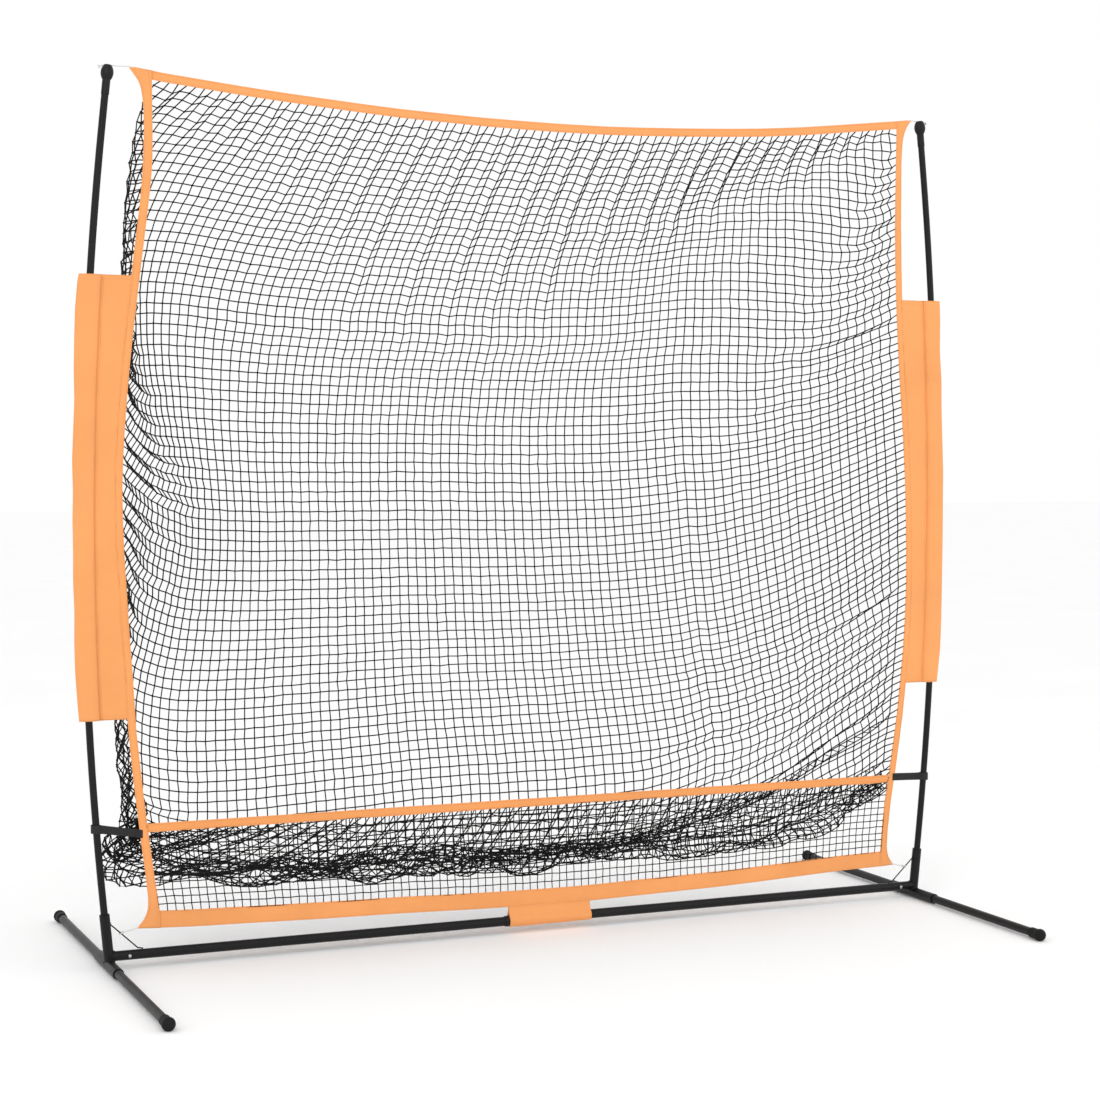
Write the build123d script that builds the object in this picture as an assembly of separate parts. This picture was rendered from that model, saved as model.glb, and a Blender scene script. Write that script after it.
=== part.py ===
from build123d import *
import math
import os

os.makedirs("parts", exist_ok=True)

# Free-standing bow-frame practice net for chipping and driving.
# Row frame: +X to the user's right, +Y away from the user (the catch bag hangs on this side), +Z up.
# Origin on the floor, midway between the four feet. All sizes in millimetres.

# ---------------------------------------------------------------- driving dimensions
HUB_X = 1049.0            # half spacing of the two hubs
FOOT_Z = 14.0             # height of the foot tubes' axis
FOOT_OD, FOOT_WALL = 20.0, 1.2
FOOT_IN, FOOT_END = 3.0, 546.0     # foot tube, from the hub's middle outwards
FOOT_SOCKET_OD, FOOT_SOCKET_ID, FOOT_SOCKET_HALF = 25.0, 20.1, 98.0
CAP_BALL_R, CAP_BALL_Y = 14.6, 548.0
CAP_COLLAR_R, CAP_COLLAR_Y = 12.3, 516.0

BAR_Z, BAR_OD, BAR_ID = 32.0, 22.0, 19.6
BAR_SHOULDER_X = 1024.0   # where the crossbar butts against the hub
STUB_OD, STUB_ID, STUB_END_X = 19.5, 17.0, 948.0
COUPLER_HALF = 80.0       # inner coupling tube of the two crossbar halves
COLLAR_X0, COLLAR_X1, COLLAR_OD = -97.0, -89.0, 25.6

POST_OD, POST_ID = 23.0, 16.12     # upright pole socket of the hub
POST_TILT = 5.5           # degrees, outwards
POST_MOUTH_Z = 127.0
POST_DEPTH = 62.0         # how far the pole goes in

POLE_OD, POLE_WALL = 16.0, 1.2
POLE_R = 8616.0           # bow radius of the assembled pole's axis
POLE_STRAIGHT = 110.0     # straight run at each end of the bow
POLE_TOP_TILT = -6.0      # degrees, inwards
KNOB_Z = 1979.0           # middle of the round end knob
FERRULE_D, FERRULE_HALF = 13.5, 50.0
JOINT_Z = (690.0, 1330.0) # where the three pole sections meet

WIRE_R = 1.5
BUTTON_X, BUTTON_R, BUTTON_OUT, BUTTON_TRAVEL = 1004.0, 4.0, 3.0, 4.3

CLOTH = 2.4               # two layers of woven fabric and their seam
NET = 1.0                 # netting as a plain sheet
SLEEVE_Z0, SLEEVE_Z1 = 560.0, 1541.0
SLEEVE_CHANNEL = (-22.0, 23.0, 9.8, 7.6)   # pole channel: inner side, outer side, half depth, corner
TAB_X0, TAB_X1 = -88.0, 125.0
CROSS_Z0, CROSS_Z1 = 304.0, 324.0

# Outline of the orange border, front view, in (x, z).
TOP_EDGE = [(-941, 1990.5), (-927, 1988), (-836, 1979), (-744, 1970), (-651, 1962), (-556, 1955), (-460, 1948), (-362, 1942),
            (-263, 1938), (-162, 1934.5), (-60, 1932.5), (44, 1931.5), (149, 1932), (256, 1935), (365, 1939.5), (476, 1945),
            (588, 1952), (702, 1962), (818, 1975), (936, 1988.5), (971, 1992.5)]
TOP_BAND_H = 20.0
BOTTOM_EDGE = [(-933, 87), (-836, 83), (-744, 81), (-651, 78.5), (-556, 76), (-460, 74.5), (-362, 73), (-263, 70), (-162, 67),
               (-60, 65), (44, 64), (149, 64.5), (256, 67), (365, 69), (476, 71), (588, 75), (702, 80), (818, 85), (947, 88)]
BOTTOM_BAND_H = 39.0
LEFT_INNER = [(-941, 1970.5), (-941, 1922), (-940.5, 1857), (-941, 1791), (-947, 1726), (-955, 1661), (-963.5, 1595), (-972, 1529),
              (-980, 1464), (-988, 1398), (-995, 1332), (-1001, 1266), (-1006, 1200), (-1010, 1134), (-1012, 1068), (-1011, 1001),
              (-1009, 935), (-1005, 869), (-1001, 802), (-997, 735), (-992, 669), (-988, 602), (-984, 535), (-977, 468),
              (-970, 401), (-962, 334), (-953, 266), (-944, 199), (-937, 155), (-933, 126)]
LEFT_OUTER = [(-994, 1997), (-988, 1987.5), (-981, 1979), (-974, 1970), (-967.5, 1957), (-963, 1935), (-960.5, 1905), (-960, 1857),
              (-962, 1791), (-967, 1726), (-974.5, 1661), (-983, 1595), (-991, 1529), (-999, 1464), (-1007, 1398), (-1014, 1332),
              (-1020, 1266), (-1025, 1200), (-1029, 1134), (-1031, 1068), (-1030, 1001), (-1028, 935), (-1024, 869), (-1020, 802),
              (-1016, 735), (-1011, 669), (-1007, 602), (-1002, 535), (-996, 468), (-989, 401), (-981, 334), (-973, 266),
              (-964, 199), (-959.5, 155), (-960, 132), (-965, 117), (-973, 104), (-986, 90)]
RIGHT_INNER = [(971, 1972.5), (971, 1945), (970.5, 1870), (970, 1794), (970, 1718), (971.5, 1642), (974.5, 1566), (978.5, 1490),
               (983.5, 1413), (989, 1337), (995.5, 1260), (1001.5, 1184), (1007, 1107), (1010.5, 1030), (1013, 953), (1014.5, 876),
               (1015, 798), (1012.5, 721), (1008, 643), (1001, 566), (993, 488), (982.5, 410), (971, 332), (958, 254), (950, 176), (947, 127)]
RIGHT_OUTER = [(1016, 1998), (1007, 1987), (1001, 1977), (995, 1964), (990.5, 1945), (987.5, 1910), (987, 1870), (987.5, 1794),
               (988.5, 1718), (990, 1642), (993, 1566), (997, 1490), (1002, 1413), (1007.5, 1337), (1014, 1260), (1020, 1184),
               (1025.5, 1107), (1029, 1030), (1031.5, 953), (1033, 876), (1033.5, 798), (1031, 721), (1026.5, 643), (1019, 566),
               (1010.5, 488), (1000.5, 410), (989, 332), (976.5, 254), (968, 176), (966.5, 140), (969, 118), (976, 104), (989, 90)]

# Catch bag: half width at the strips and the side-view corners (y, z) of its back wall, top to bottom.
BAG_FRONT_X, BAG_TAPER = 985.0, 0.2088
BAG_Y0 = 2.5
BAG_PROFILE = [(BAG_Y0, 1912.0), (330.0, 1130.0), (410.0, 600.0), (270.0, 175.0), (95.0, 140.0), (BAG_Y0, 300.0)]


def save(name, shape):
    if isinstance(shape, (list, ShapeList, tuple)):
        shape = Compound(children=list(shape))
    shape.label = name
    export_step(shape, f"parts/{name}.step")


def rod(a, b, r):
    """Round bar from point a to point b."""
    a, b = Vector(*a), Vector(*b)
    d = b - a
    return Plane(origin=(a + b) * 0.5, z_dir=d) * Cylinder(r, d.length)


def plate(outline, half=CLOTH / 2, y=0.0):
    """Flat piece with a front-view outline in (x, z), centred on y."""
    wire = Polyline(*[(x, y, z) for x, z in outline], close=True)
    face = Face(Wire(wire.edges()))
    return extrude(face, amount=half, dir=(0, 1, 0)) + extrude(face, amount=half, dir=(0, -1, 0))


def mirrored(shape):
    return mirror(shape, about=Plane.YZ)


def at_z(edge, z):
    """x of an edge list (x, z) at height z."""
    pts = sorted(edge, key=lambda p: p[1])
    for (x0, z0), (x1, z1) in zip(pts, pts[1:]):
        if z0 <= z <= z1:
            return x0 + (x1 - x0) * (z - z0) / (z1 - z0)
    return pts[0][0] if z < pts[0][1] else pts[-1][0]


def at_x(edge, x):
    """z of an edge list (x, z) at x."""
    pts = sorted(edge)
    for (x0, z0), (x1, z1) in zip(pts, pts[1:]):
        if x0 <= x <= x1:
            return z0 + (z1 - z0) * (x - x0) / (x1 - x0)
    return pts[0][1] if x < pts[0][0] else pts[-1][1]


# ---------------------------------------------------------------- pole axis (right-hand side, mirrored for the left)
t0, t1 = math.radians(POST_TILT), math.radians(POLE_TOP_TILT)
P_BASE = (HUB_X, 0.0, BAR_Z + 1.0)


def post(s):
    """Point on the socket's axis, s along it from its base point."""
    return (P_BASE[0] + math.sin(t0) * s, 0.0, P_BASE[2] + math.cos(t0) * s)


S_MOUTH = (POST_MOUTH_Z - P_BASE[2]) / math.cos(t0)
S_FOOT = S_MOUTH - POST_DEPTH
A0 = post(POLE_STRAIGHT)
CX, CZ = A0[0] - POLE_R * math.cos(t0), A0[2] + POLE_R * math.sin(t0)   # centre of the bow


def bow(t):
    """Point on the bow where the axis leans t radians outwards."""
    return (CX + POLE_R * math.cos(t), 0.0, CZ - POLE_R * math.sin(t))


A1 = bow(t1)
TOP_RUN = (KNOB_Z - A1[2]) / math.cos(t1)
KNOB = (A1[0] + math.sin(t1) * TOP_RUN, 0.0, KNOB_Z)
TA, TB = (math.asin((CZ - z) / POLE_R) for z in JOINT_Z)


def pole_top(s):
    """Point on the top straight run, s along it from the end of the bow."""
    return (A1[0] + math.sin(t1) * s, 0.0, A1[2] + math.cos(t1) * s)


BOW_AXIS = Axis((CX, 0, CZ), (0, 1, 0))


def bowed(section, ta, tb):
    """A section drawn at lean 0, (x measured from the pole's axis, y), turned along the bow from lean ta to lean tb (ta > tb)."""
    face = Location((CX + POLE_R, 0, CZ)) * section
    # a positive turn about +Y takes +X towards -Z, which is a positive lean
    face = face.rotate(BOW_AXIS, math.degrees(ta))
    return revolve(face, axis=BOW_AXIS, revolution_arc=-(math.degrees(ta - tb)))


ring = Circle(POLE_OD / 2) - Circle(POLE_OD / 2 - POLE_WALL)


def tube(a, b, ro, ri):
    return rod(a, b, ro) - rod(a, b, ri)


# pole sections
foot_of_pole = post(S_FOOT)
pole_lower = tube(foot_of_pole, A0, POLE_OD / 2, POLE_OD / 2 - POLE_WALL) + bowed(ring, t0, TA)
pole_middle = bowed(ring, TA, TB)
POLE_END = pole_top(TOP_RUN - 12.0)
pole_upper = bowed(ring, TB, t1) + tube(A1, POLE_END, POLE_OD / 2, POLE_OD / 2 - POLE_WALL)
half = FERRULE_HALF / POLE_R
ferrules = [bowed(Circle(FERRULE_D / 2), t + half, t - half) for t in (TA, TB)]

# end knob: a short collar and a ball with a flat top and a cord groove across it
knob_plane = Plane(origin=KNOB, x_dir=(math.cos(t1), 0, -math.sin(t1)), z_dir=(math.sin(t1), 0, math.cos(t1)))
with BuildSketch(Plane.XZ) as knob_sketch:
    with BuildLine():
        Line((0, -47), (8.9, -47))
        Line((8.9, -47), (8.9, -15.5))
        ThreePointArc((8.9, -15.5), (14.0, 0.5), (7.6, 17.6))
        Line((7.6, 17.6), (0, 17.6))
        Line((0, 17.6), (0, -47))
    make_face()
knob = revolve(knob_sketch.sketch, axis=Axis.Z)
knob = knob_plane * knob
knob -= rod(pole_top(TOP_RUN - 60), POLE_END, POLE_OD / 2)
GROOVE_Z = KNOB_Z + 16.2
knob -= Location((KNOB[0], 0, GROOVE_Z + 4)) * Box(60, 3.8, 12)

# ---------------------------------------------------------------- hub weldment
hub = rod((HUB_X, -FOOT_SOCKET_HALF, FOOT_Z), (HUB_X, FOOT_SOCKET_HALF, FOOT_Z), FOOT_SOCKET_OD / 2)
hub += rod(post(-14), post(S_MOUTH), POST_OD / 2)
hub += rod((HUB_X, 0, BAR_Z), (BAR_SHOULDER_X, 0, BAR_Z), BAR_OD / 2)
hub += rod((HUB_X - 8, 0, BAR_Z), (STUB_END_X, 0, BAR_Z), STUB_OD / 2)
hub -= rod((HUB_X, -150, FOOT_Z), (HUB_X, 150, FOOT_Z), FOOT_SOCKET_ID / 2)
hub -= rod(post(S_FOOT), post(S_MOUTH + 5), POST_ID / 2)
hub -= rod(post(4), post(S_FOOT + 1), 5.5)
hub -= rod((1020, 0, BAR_Z), (STUB_END_X - 5, 0, BAR_Z), STUB_ID / 2)
hub -= rod((BUTTON_X, 0, BAR_Z), (BUTTON_X, -14, BAR_Z), BUTTON_R + 0.06)

# hook wire for the lower corner elastic, welded to the hub's post and resting on the crossbar
w0 = (HUB_X + math.tan(t0) * (104 - P_BASE[2]) - 11.0, 0, 104.0)
w1 = (984.0, 0, BAR_Z + BAR_OD / 2 + WIRE_R + 2.6)
w2 = (973.0, 0, BAR_Z + BAR_OD / 2 + WIRE_R + 0.15)
hook = rod(w0, w1, WIRE_R) + Location(w1) * Sphere(WIRE_R) + rod(w1, w2, WIRE_R) + Location(w2) * Sphere(WIRE_R)

# ---------------------------------------------------------------- crossbar
BAR_JOINT = 0.0
bar_tube = rod((BAR_SHOULDER_X - 0.2, 0, BAR_Z), (BAR_JOINT + 0.1, 0, BAR_Z), BAR_OD / 2)
bar_tube -= rod((BAR_SHOULDER_X + 5, 0, BAR_Z), (BAR_JOINT - 5, 0, BAR_Z), BAR_ID / 2)
bar_tube -= rod((BUTTON_X, 0, BAR_Z), (BUTTON_X, -14, BAR_Z), BUTTON_R + 0.06)
coupler = tube((-COUPLER_HALF, 0, BAR_Z), (COUPLER_HALF, 0, BAR_Z), STUB_OD / 2, STUB_ID / 2)
bar_collar = tube((COLLAR_X0, 0, BAR_Z), (COLLAR_X1, 0, BAR_Z), COLLAR_OD / 2, BAR_OD / 2)
bar_collar = fillet(bar_collar.edges().filter_by(GeomType.CIRCLE).group_by(SortBy.LENGTH)[-1], 0.8)

# snap button: domed pin with a flange inside the stub
BUTTON_TOP_Y = -(BAR_OD / 2 + BUTTON_OUT)
button = rod((BUTTON_X, -4.7, BAR_Z), (BUTTON_X, BUTTON_TOP_Y, BAR_Z), BUTTON_R)
button = fillet(button.edges().filter_by(GeomType.CIRCLE).sort_by(Axis.Y)[0], 2.4)
button += rod((BUTTON_X, -4.7, BAR_Z), (BUTTON_X, -5.8, BAR_Z), 5.4)
# V spring strip behind it: one leg bears on the flange, the other on the far wall of the stub
with BuildSketch(Plane.XY) as spring_sketch:
    Polygon((1008, -4.3), (1008, -3.7), (964.6, 0.4), (1008, 7.0), (1008, 7.6), (963, 0.75), (963, -0.05), align=None)
v_spring = Location((0, 0, BAR_Z - 3)) * extrude(spring_sketch.sketch, amount=6)

# ---------------------------------------------------------------- feet


def foot_tube(front):
    s = -1 if front else 1
    return tube((HUB_X, s * FOOT_IN, FOOT_Z), (HUB_X, s * FOOT_END, FOOT_Z), FOOT_OD / 2, FOOT_OD / 2 - FOOT_WALL)


def foot_cap(front):
    s = -1 if front else 1
    cap = Location((HUB_X, s * CAP_BALL_Y, FOOT_Z)) * Sphere(CAP_BALL_R)
    cap += rod((HUB_X, s * CAP_COLLAR_Y, FOOT_Z), (HUB_X, s * CAP_BALL_Y, FOOT_Z), CAP_COLLAR_R)
    cap -= rod((HUB_X, s * (CAP_COLLAR_Y - 30), FOOT_Z), (HUB_X, s * FOOT_END, FOOT_Z), FOOT_OD / 2)
    # the ball is cut flat where it stands on the floor
    return cap - Location((HUB_X, s * CAP_BALL_Y, -20)) * Box(80, 80, 40)


# ---------------------------------------------------------------- woven border
top_band = plate(TOP_EDGE + [(x, z - TOP_BAND_H) for x, z in reversed(TOP_EDGE)])
bottom_band = plate([(x, z + BOTTOM_BAND_H) for x, z in BOTTOM_EDGE] + BOTTOM_EDGE[::-1])
cross_band = plate([(at_z(LEFT_INNER, CROSS_Z0) + 0.1, CROSS_Z0), (at_z(LEFT_INNER, CROSS_Z1) + 0.1, CROSS_Z1),
                    (at_z(RIGHT_INNER, CROSS_Z1) - 0.1, CROSS_Z1), (at_z(RIGHT_INNER, CROSS_Z0) - 0.1, CROSS_Z0)])
strip_left = plate([(-941.1, 1990.4)] + [(x - 0.1, z) for x, z in LEFT_INNER] + [(-933.1, 87)] + LEFT_OUTER[::-1])
strip_right = plate([(971.1, 1992.4)] + [(x + 0.1, z) for x, z in RIGHT_INNER] + [(947.1, 88)] + RIGHT_OUTER[::-1])


def side_sleeve(outer_edge, sign):
    """Fabric sleeve over the bowed pole: a flat double layer from the border strip to the seam, then a channel round the pole."""
    a, b, h, c = SLEEVE_CHANNEL
    mid = (a + b) / 2
    outer = Location((mid, 0)) * RectangleRounded(b - a, 2 * h, c)
    inner = Location((mid, 0)) * RectangleRounded(b - a - 2.4, 2 * h - 2.4, c - 1.2)
    lean0 = math.asin((CZ - SLEEVE_Z0 + 40) / POLE_R)
    lean1 = math.asin((CZ - SLEEVE_Z1 - 40) / POLE_R)
    body = bowed(outer, lean0, lean1)
    # the inner edge follows the strip's own corner points, so the two never cross
    inside = sorted(((abs(x) + 0.1, z) for x, z in outer_edge if SLEEVE_Z0 - 70 < z < SLEEVE_Z1 + 70), key=lambda p: p[1])
    zs = [z for x, z in inside]
    outside = [(CX + math.sqrt(POLE_R ** 2 - (z - CZ) ** 2) + a + 9.0, z) for z in zs]
    body += plate(inside + outside[::-1])
    body -= bowed(inner, lean0 + 0.01, lean1 - 0.01)
    body &= Location((1060, 0, (SLEEVE_Z0 + SLEEVE_Z1) / 2)) * Box(400, 100, SLEEVE_Z1 - SLEEVE_Z0)
    body = body.solid() if len(body.solids()) == 1 else max(body.solids(), key=lambda s: s.volume)
    return body if sign > 0 else mirrored(body)


sleeve_left = side_sleeve(LEFT_OUTER, -1)
sleeve_right = side_sleeve(RIGHT_OUTER, 1)

# centre sleeve: a tab that hangs from the bottom band and wraps the crossbar
tab = plate([(TAB_X0, BAR_Z + 10)] + [(x, at_x(BOTTOM_EDGE, x) - 0.1) for x in (TAB_X0, -60, 0, 44, 90, TAB_X1)] + [(TAB_X1, BAR_Z + 10)])
tab += rod((TAB_X0, 0, BAR_Z), (TAB_X1, 0, BAR_Z), 14.6)
tab -= rod((TAB_X0 - 5, 0, BAR_Z), (TAB_X1 + 5, 0, BAR_Z), 12.6)

# webbing straps from the border strips round the poles
STRAP_Z, STRAP_H = 313.0, 19.0


def strap(outer_edge, sign):
    px = bow(math.asin((CZ - STRAP_Z) / POLE_R))[0]
    x0 = abs(at_z(outer_edge, STRAP_Z)) + 0.3
    loop = Location((px + 0.8, 0)) * (Circle(12.0) - Circle(10.4))
    tail = Location(((x0 + px - 11) / 2, 0)) * Rectangle(px - 11 - x0, 1.8)
    piece = extrude(loop + tail, amount=STRAP_H / 2, both=True)
    piece = Location((0, 0, STRAP_Z)) * piece
    # the tail is cut along the strip's edge
    z0, z1 = STRAP_Z - STRAP_H / 2, STRAP_Z + STRAP_H / 2
    keep = plate([(abs(at_z(outer_edge, z0)) + 0.1, z0 - 0.0), (px + 60, z0), (px + 60, z1), (abs(at_z(outer_edge, z1)) + 0.1, z1)], 30)
    piece &= keep
    return piece if sign > 0 else mirrored(piece)


# corner elastics
ER = 1.5


def top_elastic(tip_x):
    end = KNOB[0] + 17.5
    piece = rod((tip_x + 0.3, 0, GROOVE_Z), (end, 0, GROOVE_Z), ER)
    return piece + Location((end + 1.5, 0, GROOVE_Z - 0.6)) * Sphere(3.2)


def bottom_elastic(tip):
    """From the lower tip of the border to a ring round the hook wire."""
    a, b = Vector(*w0), Vector(*w1)
    d = (b - a).normalized()
    c = a + d * ((a.Z - 82.5) / -d.Z)
    eye = Plane(origin=c, z_dir=d) * Torus(3.4, ER)
    start = Vector(tip[0] + 0.6, 0, tip[1] + 0.3)
    run = (c - start).normalized()
    return rod(tuple(start), tuple(c - run * 3.4), ER) + eye


# ---------------------------------------------------------------- netting


def inset(points, d):
    """Corners of a convex outline moved inwards by d."""
    n = len(points)
    area = sum(points[i][0] * points[(i + 1) % n][1] - points[(i + 1) % n][0] * points[i][1] for i in range(n))
    sgn = 1 if area > 0 else -1
    lines = []
    for i in range(n):
        (x0, y0), (x1, y1) = points[i], points[(i + 1) % n]
        ln = math.hypot(x1 - x0, y1 - y0)
        nx, ny = -(y1 - y0) / ln * sgn, (x1 - x0) / ln * sgn
        lines.append((nx, ny, nx * x0 + ny * y0 + d))
    out = []
    for i in range(n):
        a1, b1, c1 = lines[i - 1]
        a2, b2, c2 = lines[i]
        det = a1 * b2 - a2 * b1
        out.append(((c1 * b2 - c2 * b1) / det, (a1 * c2 - a2 * c1) / det))
    return out


def frustum(low, high):
    """Closed solid between two outlines with matching corners, every side flat."""
    low, high = [Vector(*p) for p in low], [Vector(*p) for p in high]
    faces = [Face(Wire.make_polygon(low)), Face(Wire.make_polygon(high))]
    n = len(low)
    for i in range(n):
        j = (i + 1) % n
        faces.append(Face(Wire.make_polygon([low[i], low[j], high[j], high[i]])))
    s = Solid(Shell(faces))
    return s


k = math.hypot(1, BAG_TAPER)


def side_x(y, d=0.0):
    """Half width of the bag at depth y, on its outer face, or d inside it."""
    return BAG_FRONT_X - BAG_TAPER * (y - BAG_Y0) - d * k


prof_in = inset(BAG_PROFILE, NET)
# at the open front both faces end on the same plane
prof_in[0] = (BAG_Y0, prof_in[1][1] + (prof_in[0][1] - prof_in[1][1]) * (BAG_Y0 - prof_in[1][0]) / (prof_in[0][0] - prof_in[1][0]))
prof_in[-1] = (BAG_Y0, prof_in[-2][1] + (prof_in[-1][1] - prof_in[-2][1]) * (BAG_Y0 - prof_in[-2][0]) / (prof_in[-1][0] - prof_in[-2][0]))
bag = []
for i in range(len(BAG_PROFILE) - 1):
    (y0, z0), (y1, z1) = BAG_PROFILE[i], BAG_PROFILE[i + 1]
    (v0, q0), (v1, q1) = prof_in[i], prof_in[i + 1]
    low = [(-side_x(y0), y0, z0), (side_x(y0), y0, z0), (side_x(y1), y1, z1), (-side_x(y1), y1, z1)]
    high = [(-side_x(v0, NET), v0, q0), (side_x(v0, NET), v0, q0), (side_x(v1, NET), v1, q1), (-side_x(v1, NET), v1, q1)]
    bag.append(frustum(low, high))
for s in (-1, 1):
    bag.append(frustum([(s * side_x(y), y, z) for y, z in BAG_PROFILE], [(s * side_x(y, NET), y, z) for y, z in prof_in]))

# the netting's top corners fill the space up to the curved top band
low = BAG_PROFILE[0][1] + 0.3
for corner in ([(-941, low)] + [(x, z - TOP_BAND_H - 0.3) for x, z in TOP_EDGE if x < -150] + [(-110, low)],
               [(170, low)] + [(x, z - TOP_BAND_H - 0.3) for x, z in TOP_EDGE if x > 200] + [(971, low)]):
    bag.append(plate(corner, NET / 2, BAG_Y0 + NET / 2))

lower_net = plate([(at_z(LEFT_INNER, z) + 0.2, z) for z in (303.8, 266, 199, 155)] +
                  [(-932.8, 126.2)] + [(x, z + BOTTOM_BAND_H + 0.2) for x, z in BOTTOM_EDGE[1:-1]] + [(946.8, 127.2)] +
                  [(at_z(RIGHT_INNER, z) - 0.2, z) for z in (176, 254, 303.8)], NET / 2)

# ---------------------------------------------------------------- write every piece
for side, fix in (("right", lambda s: s), ("left", mirrored)):
    save(f"hub_{side}", fix(hub))
    save(f"hook_wire_{side}", fix(hook))
    save(f"crossbar_{side}", fix(bar_tube))
    save(f"crossbar_button_{side}", fix(button))
    save(f"button_spring_{side}", fix(v_spring))
    for end, front in (("front", True), ("rear", False)):
        save(f"foot_tube_{end}_{side}", fix(foot_tube(front)))
        save(f"foot_cap_{end}_{side}", fix(foot_cap(front)))
    save(f"pole_lower_{side}", fix(pole_lower))
    save(f"pole_middle_{side}", fix(pole_middle))
    save(f"pole_upper_{side}", fix(pole_upper))
    save(f"pole_ferrules_{side}", [fix(f) for f in ferrules])
    save(f"pole_cap_{side}", fix(knob))
save("crossbar_coupler", coupler)
save("crossbar_collar", bar_collar)
save("net_top_band", top_band)
save("net_bottom_band", bottom_band)
save("net_cross_band", cross_band)
save("net_side_strip_left", strip_left)
save("net_side_strip_right", strip_right)
save("side_sleeve_left", sleeve_left)
save("side_sleeve_right", sleeve_right)
save("crossbar_sleeve", tab)
save("pole_strap_left", strap(LEFT_OUTER, -1))
save("pole_strap_right", strap(RIGHT_OUTER, 1))
save("elastic_top_left", mirrored(top_elastic(994.0)))
save("elastic_top_right", top_elastic(1016.0))
save("elastic_bottom_left", mirrored(bottom_elastic((986.0, 90.0))))
save("elastic_bottom_right", bottom_elastic((989.0, 90.0)))
save("catch_net", bag)
save("lower_net", lower_net)

print("pole axis: base", post(0), "mouth", post(S_MOUTH), "widest", bow(0), "knob", KNOB)
print("pole x at 557, 1000, 1545:", [round(CX + math.sqrt(POLE_R ** 2 - (z - CZ) ** 2), 1) for z in (322, 557, 1000, 1545)])
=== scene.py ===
import math

import bpy
import numpy as np
from mathutils import Matrix, Vector


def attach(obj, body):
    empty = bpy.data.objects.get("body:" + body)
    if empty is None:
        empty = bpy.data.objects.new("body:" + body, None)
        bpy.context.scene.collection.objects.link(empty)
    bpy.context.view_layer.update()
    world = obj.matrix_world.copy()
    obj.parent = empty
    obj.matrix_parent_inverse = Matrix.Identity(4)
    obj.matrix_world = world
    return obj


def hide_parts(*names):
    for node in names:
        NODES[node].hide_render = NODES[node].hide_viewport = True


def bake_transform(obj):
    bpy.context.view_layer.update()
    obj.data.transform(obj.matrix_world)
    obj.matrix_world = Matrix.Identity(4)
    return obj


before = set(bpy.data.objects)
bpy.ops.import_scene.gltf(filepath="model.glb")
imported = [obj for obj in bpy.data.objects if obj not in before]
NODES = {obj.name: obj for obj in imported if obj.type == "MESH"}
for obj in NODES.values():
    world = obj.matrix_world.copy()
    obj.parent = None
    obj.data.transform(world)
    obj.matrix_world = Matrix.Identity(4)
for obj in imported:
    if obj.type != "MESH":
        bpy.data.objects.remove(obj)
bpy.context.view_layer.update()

rng = np.random.RandomState(7)

# ------------------------------------------------------------------ outline of the woven border, front view, (x, z) in mm, as in the CAD
TOP_EDGE = [(-941, 1990.5), (-927, 1988), (-836, 1979), (-744, 1970), (-651, 1962), (-556, 1955), (-460, 1948), (-362, 1942),
            (-263, 1938), (-162, 1934.5), (-60, 1932.5), (44, 1931.5), (149, 1932), (256, 1935), (365, 1939.5), (476, 1945),
            (588, 1952), (702, 1962), (818, 1975), (936, 1988.5), (971, 1992.5)]
BOTTOM_EDGE = [(-933, 87), (-836, 83), (-744, 81), (-651, 78.5), (-556, 76), (-460, 74.5), (-362, 73), (-263, 70), (-162, 67),
               (-60, 65), (44, 64), (149, 64.5), (256, 67), (365, 69), (476, 71), (588, 75), (702, 80), (818, 85), (947, 88)]
LEFT_INNER = [(-941, 1970.5), (-941, 1922), (-940.5, 1857), (-941, 1791), (-947, 1726), (-955, 1661), (-963.5, 1595), (-972, 1529),
              (-980, 1464), (-988, 1398), (-995, 1332), (-1001, 1266), (-1006, 1200), (-1010, 1134), (-1012, 1068), (-1011, 1001),
              (-1009, 935), (-1005, 869), (-1001, 802), (-997, 735), (-992, 669), (-988, 602), (-984, 535), (-977, 468),
              (-970, 401), (-962, 334), (-953, 266), (-944, 199), (-937, 155), (-933, 126)]
LEFT_OUTER = [(-994, 1997), (-988, 1987.5), (-981, 1979), (-974, 1970), (-967.5, 1957), (-963, 1935), (-960.5, 1905), (-960, 1857),
              (-962, 1791), (-967, 1726), (-974.5, 1661), (-983, 1595), (-991, 1529), (-999, 1464), (-1007, 1398), (-1014, 1332),
              (-1020, 1266), (-1025, 1200), (-1029, 1134), (-1031, 1068), (-1030, 1001), (-1028, 935), (-1024, 869), (-1020, 802),
              (-1016, 735), (-1011, 669), (-1007, 602), (-1002, 535), (-996, 468), (-989, 401), (-981, 334), (-973, 266),
              (-964, 199), (-959.5, 155), (-960, 132), (-965, 117), (-973, 104), (-986, 90)]
RIGHT_INNER = [(971, 1972.5), (971, 1945), (970.5, 1870), (970, 1794), (970, 1718), (971.5, 1642), (974.5, 1566), (978.5, 1490),
               (983.5, 1413), (989, 1337), (995.5, 1260), (1001.5, 1184), (1007, 1107), (1010.5, 1030), (1013, 953), (1014.5, 876),
               (1015, 798), (1012.5, 721), (1008, 643), (1001, 566), (993, 488), (982.5, 410), (971, 332), (958, 254), (950, 176), (947, 127)]
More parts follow.
